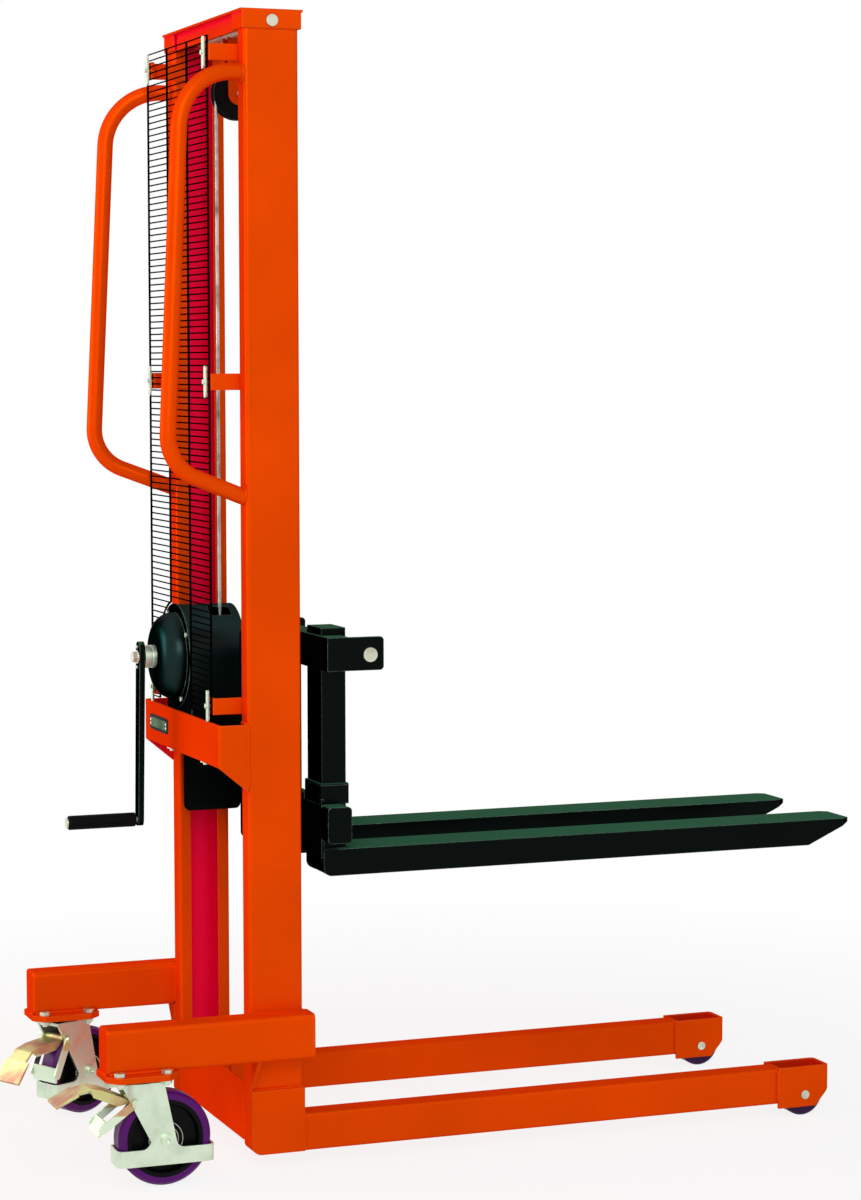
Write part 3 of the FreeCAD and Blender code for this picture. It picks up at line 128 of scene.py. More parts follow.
def power(watts, name, words):
    """Lamp power property."""
    return FloatProperty(name=name, description=words, default=watts, min=0, subtype="POWER", unit="POWER")


class StackerColours(bpy.types.PropertyGroup):
    """Colours of the truck's finishes."""

    paint: colour("E84A03", "Paint", "Orange enamel of mast, legs, beams and handles")
    # Redder in recesses: painted shade.
    painted_fold_shade: colour("E92A08", "Paint in recesses", "Redder enamel inside folds and under lips")
    # Crimson deep in the channels: painted shade.
    painted_channel_shade: colour("FF0249", "Paint in channels", "Crimson inside the mast, crosshead and shelf folds")
    # Lighter on corners and weld crests: thin enamel and a painted highlight.
    paint_chip: colour("FF9446", "Paint edge", "Thin enamel on corners and weld crests")
    black: colour("0E1312", "Black", "Flake enamel of carriage, forks and crank on upright faces")
    # Green on faces that look up: a painted reflection.
    black_top: colour("3B6E51", "Black from above", "Dull green of the flake on faces that look up")
    # Lighter edge: rubbed wear and a painted highlight.
    black_edge: colour("8FB3A2", "Black edge", "Rubbed edge of the black enamel")
    winch: colour("1D2E2D", "Winch", "Teal-black enamel of the winch's cover and housing")
    zinc: colour("D6E6CF", "Zinc", "Bright zinc plate of casters, clips and bolts")
    stain: colour("A8937A", "Zinc stain", "Brown marks where the plating ran")
    gold: colour("C9C486", "Yellow zinc", "Straw colour of the passivated brake pedals")
    blush: colour("C08A72", "Yellow zinc blush", "Tan and pink colour of the same plate")
    tread: colour("560A6E", "Tread", "Polyurethane of the caster tyres and front rollers")
    wire: colour("060707", "Wire", "Coated wire of the guard")


class StackerSizes(bpy.types.PropertyGroup):
    """Sizes of the pieces that the frame leaves to the looks."""

    wire: length(2.6, "Wire", "Diameter of the guard's cross wires")
    stay: length(4.0, "Stay", "Diameter of the guard's upright wires")
    lay: length(42.0, "Rope lay", "Length of one turn of the rope's strands")
    strands: IntProperty(name="Strands", description="Strands in the rope", default=6, min=3, max=9)
    bead: length(3.2, "Weld bead", "Half width of the weld beads")
    ripple: length(4.5, "Weld ripple", "Spacing of the ripples in a weld bead")
    card_width: length(117.0, "Rating plate width", "Width of the bare rating plate on the winch shelf")
    card_height: length(28.0, "Rating plate height", "Height of the same plate")


class StackerStage(bpy.types.PropertyGroup):
    """Light and floor."""

    key: power(116, "Key light", "Power of the large soft lamp")
    fill: power(80, "Fill light", "Power of the lamp behind the truck")
    sky: FloatProperty(name="Sky", description="Strength of the even light all round", default=0.4, min=0)
    strip: power(40, "Strip light", "Power of the small lamp that glints on round parts")
    warmth: colour("FF6C60", "Fill colour", "Warm tint of the lamp behind the truck")
    floor: colour("F3F3F1", "Floor", "Pale studio floor")


def node(tree, kind, inputs=(), **settings):
    """Add a shader node with its settings. Its inputs are given in order or by key, and each takes a value,
    or the node or socket that feeds it."""
    made = tree.nodes.new("ShaderNode" + kind)
    for name, value in settings.items():
        setattr(made, name, value)
    pairs = inputs.items() if isinstance(inputs, dict) else enumerate(inputs)
    for key, value in pairs:
        if isinstance(value, bpy.types.Node):
            value = value.outputs[0]
        if isinstance(value, bpy.types.NodeSocket):
            tree.links.new(value, made.inputs[key])
        else:
            made.inputs[key].default_value = value
    return made


def bare_tree(owner):
    """Node tree of a new material or world, emptied."""
    owner.use_nodes = True
    owner.node_tree.nodes.clear()
    return owner.node_tree


def surface(tree, inputs):
    """End a material in a surface shader with these inputs."""
    shader = node(tree, "BsdfPrincipled", inputs)
    node(tree, "OutputMaterial", {"Surface": shader})


def coats(tree, base, *layers):
    """Colour built up in coats: over the base, each layer's mask shows the layer's own colour."""
    for mask, over in layers:
        base = node(tree, "Mix", {0: mask, 6: base, 7: over}, data_type="RGBA").outputs[2]
    return base


def shaded(rgba, share):
    """The same colour, lighter or darker."""
    return tuple(min(1.0, c * share) for c in rgba[:3]) + (1.0,)


# Width in millimetres of each mark that a finish draws.
CLOUD_WIDTH = 220       # slow change of tone in sprayed paint
GRIT_WIDTH = 9          # patches that break the lighter corners: wear and painted highlight
HANDLING_WIDTH = 34     # dull spots left by hands on plate
RUN_WIDTH = 26          # brown runs in the plating
DRIFT_WIDTH = 48        # change from straw to tan in the passivation
FLOW_WIDTH = 45         # clouds in moulded resin

# Radius in millimetres to which each finish rounds its corners.
PAINT_CORNER = 2.4
PLATE_CORNER = 0.8
MOULD_CORNER = 1.0

# Noise values between these are stretched over a finish's whole range.
NOISE = (0.3, 0.7)
# Height of a streak's pattern: it is drawn out along the sheet by the inverse of this.
STREAK_SQUEEZE = 0.18

# Limits of the masks: cosine of a corner's turn (lighter corners), upward part of a normal (painted reflection),
# open share of a recess (painted shade).
CORNER_TURN = (0.72, 0.99)
LOOKS_UP = (0.5, 0.95)
HIDDEN = (0.70, 0.96)
RECESS_REACH = 150
MASK_SAMPLES = 6

# Where a pedal's foot pad starts: outwards from its hinge, and in height over it, in millimetres.
PAD_OUT = (64, 68)
PAD_OVER = (-20, -18)


def edge_mask(tree, radius):
    """Rounded normal of corners, and a mask that is one where they turn most; the finishes lighten corners by it,
    as a painted highlight that on enamel is also wear.
    """
    soft = node(tree, "Bevel", {"Radius": radius * MM}, samples=MASK_SAMPLES)
    flat = node(tree, "NewGeometry").outputs["Normal"]
    facing = node(tree, "VectorMath", (soft, flat), operation="DOT_PRODUCT").outputs["Value"]
    return soft, node(tree, "MapRange", (facing, *CORNER_TURN, 1.0, 0.0))


def up_mask(tree):
    """One on faces that look up, nothing on upright ones: where the flake enamel gets its painted reflection."""
    normal = node(tree, "NewGeometry").outputs["Normal"]
    lift = node(tree, "SeparateXYZ", (normal,)).outputs["Z"]
    return node(tree, "MapRange", (lift, *LOOKS_UP, 0.0, 1.0))


def painted_shade_mask(tree):
    """Painted shade: one deep in a piece's own recess, nothing on open faces,
    by how much of the view round it is hidden.
    """
    hidden = node(tree, "AmbientOcclusion", {"Distance": RECESS_REACH * MM}, samples=MASK_SAMPLES,
                  only_local=True)
    return node(tree, "MapRange", (hidden.outputs["AO"], *HIDDEN, 1.0, 0.0))


def pad_mask(tree, where, press):
    """One on a pedal's foot pad, nothing on the brake arms that hang below its hinge."""
    hinge = np.array(press["pos_m"])
    outward = np.cross(press["axis"], UP)
    away = node(tree, "VectorMath", (where, tuple(outward)), operation="DOT_PRODUCT").outputs["Value"]
    height = node(tree, "SeparateXYZ", (where,)).outputs["Z"]
    out_limits = float(hinge @ outward) + np.array(PAD_OUT) * MM
    over_limits = hinge[2] + np.array(PAD_OVER) * MM
    far = node(tree, "MapRange", (away, *out_limits, 0.0, 1.0))
    high = node(tree, "MapRange", (height, *over_limits, 0.0, 1.0))
    return node(tree, "Math", (far, high), operation="MAXIMUM").outputs[0]


def enamel(name, paint, shade_colour, edge, sheen, gloss, peel, metallic=1.0, top=None):
    """Sprayed enamel on sheet steel: slow cloudiness, fine orange peel, painted shade in recesses, and lighter
    corners that are partly wear and partly a painted highlight. A flake enamel also gets a painted reflection:
    a lighter colour, without metal, where it looks up; its metal shows only elsewhere."""
    tree = bare_tree(bpy.data.materials.new(name))
    where = node(tree, "TexCoord").outputs["Object"]
    cloud = node(tree, "TexNoise", {"Vector": where, "Scale": per_mm(CLOUD_WIDTH), "Detail": 3.0})
    grit = node(tree, "TexNoise", {"Vector": where, "Scale": per_mm(GRIT_WIDTH), "Detail": 4.0})
    skin = node(tree, "TexNoise", {"Vector": where, "Scale": per_mm(peel), "Detail": 1.0})
    normal, rim = edge_mask(tree, PAINT_CORNER)
    cloudy = node(tree, "MapRange", (cloud, *NOISE, 0.0, 1.0))
    # Recesses take the deeper colour: painted shade.
    layers = [(cloudy, shaded(paint, 1.06)), (painted_shade_mask(tree), shade_colour)]
    # Faces that look up take the top colour and lose their metal: a painted reflection.
    if top:
        painted_top_reflection = up_mask(tree)
        layers.append((painted_top_reflection, top))
        metallic = node(tree, "MapRange", (painted_top_reflection, 0.0, 1.0, 1.0, 0.0))
    # Corners lighter in patches: wear and painted highlight together.
    patchy = node(tree, "MapRange", (grit, *NOISE, 0.15, 0.75))
    wear_and_highlight = node(tree, "Math", (rim, patchy), operation="MULTIPLY")
    bump = node(tree, "Bump", {"Strength": 0.12, "Distance": 0.1 * MM, "Height": skin, "Normal": normal})
    surface(tree, {
        "Base Color": coats(tree, shaded(paint, 0.92), *layers, (wear_and_highlight, edge)),
        "Roughness": node(tree, "MapRange", (cloud, *NOISE, gloss - 0.05, gloss + 0.05)),
        "Normal": bump,
        "Metallic": metallic,
        "Specular IOR Level": 0.0,
        "Specular Tint": sheen,
    })


def plated(name, metal, dull, gloss, streak, stain=None):
    """Plated steel: metallic, with dull handling marks, a drawn streak along the sheet and a few run marks.
    Its corners are lighter: a painted highlight.
    Drawn lines are some tenths of a millimetre apart in truth, and are drawn as coarse as shows."""
    tree = bare_tree(bpy.data.materials.new(name))
    where = node(tree, "TexCoord").outputs["Object"]
    along = node(tree, "Mapping", {"Vector": where, "Scale": (1.0, 1.0, STREAK_SQUEEZE)})
    mark = node(tree, "TexNoise", {"Vector": where, "Scale": per_mm(HANDLING_WIDTH), "Detail": 5.0})
    drawn = node(tree, "TexNoise", {"Vector": along, "Scale": per_mm(streak), "Detail": 3.0})
    normal, rim = edge_mask(tree, PLATE_CORNER)
    layers = [(node(tree, "MapRange", (mark, 0.42, 0.72, 0.0, 1.0)), dull)]
    if stain:
        run = node(tree, "TexNoise", {"Vector": along, "Scale": per_mm(RUN_WIDTH), "Detail": 4.0})
        layers.append((node(tree, "MapRange", (run, 0.60, 0.74, 0.0, 0.6)), stain))
    bump = node(tree, "Bump", {"Strength": 0.15, "Distance": 0.1 * MM, "Height": drawn, "Normal": normal})
    surface(tree, {
        "Base Color": coats(tree, metal, *layers, (rim, shaded(metal, 1.15))),
        "Roughness": node(tree, "MapRange", (mark, *NOISE, gloss, gloss + 0.18)),
        "Normal": bump,
        "Metallic": 1.0,
    })


def passivated(name, gold, blush, zinc):
    """Yellow zinc of the pedal pads, drifting from straw to tan; the brake arms below are plain zinc.
    Corners are lighter, in a pale gold: a painted highlight.
    """
    tree = bare_tree(bpy.data.materials.new(name))
    where = node(tree, "TexCoord").outputs["Object"]
    drift = node(tree, "TexNoise", {"Vector": where, "Scale": per_mm(DRIFT_WIDTH), "Detail": 3.0,
                                    "Distortion": 0.6})
    normal, rim = edge_mask(tree, MOULD_CORNER)
    pad_colour = coats(tree, gold, (node(tree, "MapRange", (drift, 0.42, 0.62, 0.0, 1.0)), blush))
    side = node(tree, "SeparateXYZ", (where,)).outputs["Y"]
    both = [pad_mask(tree, where, joint("pedal_" + hand + "_press")) for hand in ("right", "left")]
    pads = node(tree, "MapRange", (side, -MM, MM, *both))
    surface(tree, {
        "Base Color": coats(tree, zinc, (pads, pad_colour), (rim, shaded(gold, 1.2))),
        "Roughness": node(tree, "MapRange", (drift, *NOISE, 0.48, 0.6)),
        "Normal": normal,
        "Metallic": 1.0,
    })


def moulded(name, resin, gloss, grain, shine):
    """Moulded resin: fine spark-eroded grain and a faint cloud of flow marks.
    Its corners are lighter: a painted highlight.
    The grain is some tenths of a millimetre in truth, and is drawn as coarse as shows."""
    tree = bare_tree(bpy.data.materials.new(name))
    where = node(tree, "TexCoord").outputs["Object"]
    flow = node(tree, "TexNoise", {"Vector": where, "Scale": per_mm(FLOW_WIDTH), "Detail": 3.0})
    pits = node(tree, "TexNoise", {"Vector": where, "Scale": per_mm(grain), "Detail": 2.0})
    normal, rim = edge_mask(tree, MOULD_CORNER)
    clouds = node(tree, "MapRange", (flow, *NOISE, 0.0, 1.0))
    bump = node(tree, "Bump", {"Strength": 0.2, "Distance": 0.15 * MM, "Height": pits, "Normal": normal})
    layers = [(clouds, shaded(resin, 1.12)), (rim, shaded(resin, 1.5))]
    surface(tree, {
        "Base Color": coats(tree, shaded(resin, 0.82), *layers),
        "Roughness": node(tree, "MapRange", (flow, *NOISE, gloss - 0.05, gloss + 0.1)),
        "Normal": bump,
        "Specular IOR Level": shine,
    })


def make_finishes(colours):
    """Mix every finish of the truck from its colours."""
    tint = {name: tuple(getattr(colours, name)) for name in StackerColours.__annotations__}
    # Stove enamel on welded sheet steel: deep orange with a satin sheen of its own colour, redder in folds as
    # painted shade, brighter on corners where it thins and as a painted highlight; deep inside the folded channels
    # the painted shade is crimson.
    paint = tint["paint"]
    for name, shade_colour in (("Orange enamel", "painted_fold_shade"), ("Channel enamel", "painted_channel_shade")):
        enamel(name, paint, tint[shade_colour], tint["paint_chip"], paint, gloss=0.36, peel=2.2, metallic=0.28)
    # Flake enamel on heavy plate: nearly black on upright faces, a dull green painted reflection on faces that
    # look up, and darker painted shade in recesses. The winch wears a lighter, teal coat with a lighter painted
    # reflection on top, and the plates that run in the mast get no lighter corners, neither rubbed nor painted
    # highlight.
    black = tint["black"]
    for name, body, edge, top in (
            ("Black flake enamel", black, tint["black_edge"], tint["black_top"]),
            # The winch's tops are 1.6 times lighter: a painted reflection.
            ("Winch enamel", tint["winch"], tint["black_edge"], shaded(tint["winch"], 1.6)),
            ("Unrubbed black enamel", black, black, black)):
        enamel(name, body, shaded(black, 0.6), edge, shaded(black, 6.0), gloss=0.32, peel=3.0, top=top)
    # Vinyl-dipped wire: dark, with hardly any gloss.
    moulded("Coated wire", tint["wire"], gloss=0.50, grain=3.0, shine=0.0)
    # Electroplated zinc: pale, faintly green, a little dulled by handling, brown where the plating ran.
    zinc = tint["zinc"]
    plated("Bright zinc", zinc, shaded(zinc, 0.80), gloss=0.32, streak=5.0, stain=tint["stain"])
    # Yellow-passivated zinc: straw to tan pads on bright brake arms.
    passivated("Yellow zinc", tint["gold"], tint["blush"], zinc)
    # Turned and ground steel: creamier and smoother than the plate.
    plated("Turned steel", linear("D6D8C4"), linear("A9AA98"), gloss=0.28, streak=1.6)
    # Bare drawn wire: grey, darker between the strands.
    plated("Wire rope steel", linear("BFC2BE"), linear("6E716C"), gloss=0.34, streak=2.0)
    # Machined cast iron: dark grey with a dull shine.
    plated("Machined iron", linear("6A6B6C"), linear("3A3A3B"), gloss=0.40, streak=3.0)
    # Anodised aluminium sheet: dull grey-green, as the bare rating plate.
    plated("Anodised aluminium", linear("4C6646"), linear("2E3F2A"), gloss=0.46, streak=1.4)
    # Cast polyurethane: deep colour, soft sheen; the front rollers get a darker copy, painted shade.
    moulded("Polyurethane tread", tint["tread"], gloss=0.38, grain=6.0, shine=0.2)
    moulded("Roller polyurethane", shaded(tint["tread"], 0.35), gloss=0.38, grain=6.0, shine=0.2)
    # Glass-filled nylon and grip vinyl: nearly black, fine grain.
    moulded("Black nylon", linear("08080A"), gloss=0.42, grain=2.5, shine=0.08)
    moulded("Grip vinyl", linear("080A0A"), gloss=0.50, grain=1.8, shine=0.05)


def finishes():
    """Every finish of the truck by name, made once."""
    if "Orange enamel" not in bpy.data.materials:
        make_finishes(bpy.context.scene.stacker_colours)
    return {made.name: made for made in bpy.data.materials}


# The finish of each slot of the record, and of the nodes that differ from their slot.
SLOT_FINISH = {
    "orange_paint": "Orange enamel",
    "black_paint": "Black flake enamel",
    "zinc": "Bright zinc",
    "bright_steel": "Turned steel",
    "yellow_zinc": "Yellow zinc",
    "purple_tread": "Polyurethane tread",
    "wheel_core": "Black nylon",
    "grip_plastic": "Grip vinyl",
    "wire_rope": "Wire rope steel",
    "black_wire": "Coated wire",
    "gear_iron": "Machined iron",
}
OWN_FINISH = {
    "mast_left": "Channel enamel",
    "mast_right": "Channel enamel",
    "crosshead": "Channel enamel",
    "winch_shelf": "Channel enamel",
    "gear_cover": "Winch enamel",
    "winch_housing": "Winch enamel",
    "lift_plates": "Unrubbed black enamel",
    "guide_axles": "Unrubbed black enamel",
    "front_roller_left": "Roller polyurethane",
    "front_roller_right": "Roller polyurethane",
    "crank_shaft": "Bright zinc",
}


def xyz(x, y, z):
    """Points from their coordinates; a single number is repeated for all of them."""
    return np.stack(np.broadcast_arrays(x, y, z), -1)


def around(sides):
    """Angles of a full turn in equal steps."""
    return np.linspace(0, FULL_TURN, sides, endpoint=False)


def unit(vectors):
    """Vectors of length one."""
    return vectors / np.linalg.norm(vectors, axis=-1, keepdims=True)


def run_along(path):
    """Length from the start of a path to each of its points: the sum of the steps up to it."""
    return np.concatenate([[0], np.cumsum(np.linalg.norm(np.diff(path, axis=0), axis=1))])


def quad_faces(count, rows, columns, loop_rows, loop_columns):
    """Corner numbers of the quads on a stack of grids, wound so that columns-then-rows faces outwards."""
    u = np.arange(rows if loop_rows else rows - 1)
    v = np.arange(columns if loop_columns else columns - 1)
    uu, vv = np.meshgrid(u, v, indexing="ij")
    here = uu * columns
    beyond = (uu + 1) % rows * columns
    vn = (vv + 1) % columns
    one = np.stack([here + vv, here + vn, beyond + vn, beyond + vv], -1).reshape(-1, 4)
    return (one[None] + (np.arange(count) * rows * columns)[:, None, None]).reshape(-1, 4)


def piece(name, stacks, material, body):
    """Mesh from stacks of grids of points (copy, row, column, xyz), each with a flag that its rows close in
    a ring. Columns always close, and open rows are capped at both ends."""
    points, faces, smooth, start = [], [], [], 0
    for grids, closed in stacks:
        count, rows, columns, _ = grids.shape
        sides = quad_faces(count, rows, columns, closed, True) + start
        faces += sides.tolist()
        smooth.append(np.full(len(sides), True))
        if not closed:
            first = start + (np.arange(count) * rows * columns)[:, None] + np.arange(columns)[None]
            faces += first[:, ::-1].tolist() + (first + (rows - 1) * columns).tolist()
            smooth.append(np.full(2 * count, False))
        points.append(grids.reshape(-1, 3))
        start += count * rows * columns
    mesh = bpy.data.meshes.new(name)
    mesh.from_pydata(np.concatenate(points).tolist(), [], faces)
    mesh.polygons.foreach_set("use_smooth", np.concatenate(smooth))
    mesh.materials.append(material)
    made = bpy.data.objects.new(name, mesh)
    bpy.context.scene.collection.objects.link(made)
    if body:
        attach(made, body)
    return made


def straight(starts, ends):
    """Straight paths from starts to ends."""
    return np.stack([np.asarray(starts, float), np.asarray(ends, float)], 1)


def tube(paths, radius, sides, reference, closed=False):
    """Round section carried along paths (copy, row, xyz): centre plus radius times a turning unit vector.
    The section starts from the reference direction made square to the path. The radius may vary by row
    and column."""
    paths = np.asarray(paths, float)
    if closed:
        ahead = unit(np.roll(paths, -1, axis=1) - np.roll(paths, 1, axis=1))
    else:
        ahead = unit(np.gradient(paths, axis=1))
    reference = np.asarray(reference, float)
    across = unit(reference - (ahead @ reference)[..., None] * ahead)
    over = np.cross(ahead, across)
    angle = around(sides)[:, None]
    ring = across[:, :, None] * np.cos(angle) + over[:, :, None] * np.sin(angle)
    return paths[:, :, None] + ring * np.asarray(radius, float)[..., None]


def lathe(profile, centres, axis, sides):
    """Profile of (along, radius) turned about an axis at each centre, as a stack of grids."""
    axis = unit(np.asarray(axis, float))
    side = np.array(UP if abs(axis[2]) < 0.5 else AHEAD, float)
    side = unit(side - axis * (side @ axis))
    other = np.cross(axis, side)
    profile = np.asarray(profile, float)
    angle = around(sides)[:, None]
    ring = np.cos(angle) * side + np.sin(angle) * other
    one = profile[:, 0][:, None, None] * axis + profile[:, 1][:, None, None] * ring[None]
    return np.asarray(centres, float)[:, None, None] + one[None]


class StackerPaint(bpy.types.Operator):
    """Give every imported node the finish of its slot, or its own"""

    bl_idname = "stacker.paint"
    bl_label = "Paint the frame"

    def execute(self, context):
        made = finishes()
        for row in frame["record"]["subparts"]:
            target = NODES[row["node"]]
            finish = OWN_FINISH.get(row["node"], SLOT_FINISH[row["material_slot"]])
            target.data.materials.clear()
            target.data.materials.append(made[finish])
        return {"FINISHED"}


class StackerGuard(bpy.types.Operator):
    """Weld the wire guard from round wires in place of the flat grille"""

    bl_idname = "stacker.guard"
    bl_label = "Wire guard"
    pitch = 11.0        # from one cross wire to the next
    winch_gap = 8.0     # from the last full cross wire down to the winch
    cover_gap = 4.0     # from the gear cover to the rim wire round it
    columns = 3         # upright wires divide each half of the guard by this
    sides = 8
    rim_corners = 17

    def execute(self, context):
        size = context.scene.stacker_sizes
        finish = finishes()["Coated wire"]
        low, high = span("guard_mesh")
        half_node_wire = (high[0] - low[0]) / 2
        edge = high[1] - half_node_wire
        top = high[2] - half_node_wire
        bottom = low[2] + half_node_wire
        column = edge / self.columns
        cover_low, cover_high = span("gear_cover")
        _, cover_y, cover_z = (cover_low + cover_high) / 2
        reach = (cover_high[1] - cover_low[1]) / 2 + self.cover_gap
        levels = np.linspace(top, bottom, 1 + round((top - bottom) / self.pitch))
        open_row = int((top - cover_high[2] - self.winch_gap) / self.pitch)
        upper = levels[:open_row + 1]
        lower = levels[open_row + 1:]

        # Cross wires: whole ones above the winch, then one column on the near side, and on the far side
        # from the rim's circle, whose height over the cover's middle gives its reach, to the edge.
        rise = np.clip(lower - cover_z, 0, reach)
        past = np.maximum(cover_y + np.sqrt(reach ** 2 - rise ** 2), column)
        x = high[0] - size.wire / MM / 2
        starts = np.concatenate([xyz(x, -edge, upper), xyz(x, -edge, lower), xyz(x, past, lower)])
        ends = np.concatenate([xyz(x, edge, upper), xyz(x, -column, lower), xyz(x, edge, lower)])
        wires = tube(place(straight(starts, ends)), size.wire / 2, self.sides, AHEAD)
        wires = piece("guard_cross_wires", [(wires, False)], finish, "frame")
        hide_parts("guard_mesh")

        # Upright wires, one of which runs on as the rim: round the cover to its side, then straight down.
        x = low[0] + size.stay / MM / 2
        turn = np.linspace(math.acos((column - cover_y) / reach), 0, self.rim_corners)
        rim = xyz(x, cover_y + reach * np.cos(turn), cover_z + reach * np.sin(turn))
        rim = np.concatenate([rim, [(x, cover_y + reach, bottom)]])
        starts = np.concatenate([xyz(x, (-edge, edge, -column), bottom), rim[:1]])
        ends = xyz(x, starts[:, 1], top)
        stays = tube(place(straight(starts, ends)), size.stay / 2, self.sides, AHEAD)
        rim = tube(place(rim)[None], size.stay / 2, self.sides, AHEAD)
        piece("guard_upright_wires", [(stays, False), (rim, False)], finish, "frame")
        return {"FINISHED"}


class StackerRope(bpy.types.Operator):
    """Lay the stranded rope over the sheave and down to the carriage"""

    bl_idname = "stacker.rope"
    bl_label = "Wire rope"
    sides = 24
    step = 2.5      # between rings of the rope's surface
    dip = 0.16      # depth of the hollow between strands, as a share of the radius

    def strand(self, path, radius, size):
        """Rope surface: a round section whose radius dips between strands that turn once in each lay."""
        turned = FULL_TURN * run_along(path)[:, None] * MM / size.lay
        phase = size.strands / 2 * (around(self.sides) - turned)
        radii = radius * (1 - self.dip * (1 - np.abs(np.cos(phase))))
        return [(tube(place(path)[None], radii[None] * MM, self.sides, LEFT), False)]

    def execute(self, context):
        size = context.scene.stacker_sizes
        finish = finishes()["Wire rope steel"]
        sheave_x, _, sheave_z = span("sheave").mean(axis=0)
        low, high = span("rope_over_sheave")
        radius = (high[1] - low[1]) / 2
        pitch = high[2] - radius - sheave_z
        turn = np.linspace(math.pi, 0, int(math.pi * pitch / self.step))
        rear = xyz(sheave_x - pitch, 0.0, np.arange(low[2], sheave_z, self.step))
        over = xyz(sheave_x + pitch * np.cos(turn), 0.0, sheave_z + pitch * np.sin(turn))
        path = np.concatenate([rear, over])
        rope = piece("wire_rope", self.strand(path, radius, size), finish, "frame")
        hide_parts("rope_over_sheave")

        low, high = span("rope_fall")
        drop = np.linspace(high[2], low[2], int((high[2] - low[2]) / self.step))
        front = xyz((low[0] + high[0]) / 2, 0.0, drop)
        fall = piece("wire_rope_fall", self.strand(front, radius, size), finish, None)
        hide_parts("rope_fall")
        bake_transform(fall)
        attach(fall, "frame")
        return {"FINISHED"}


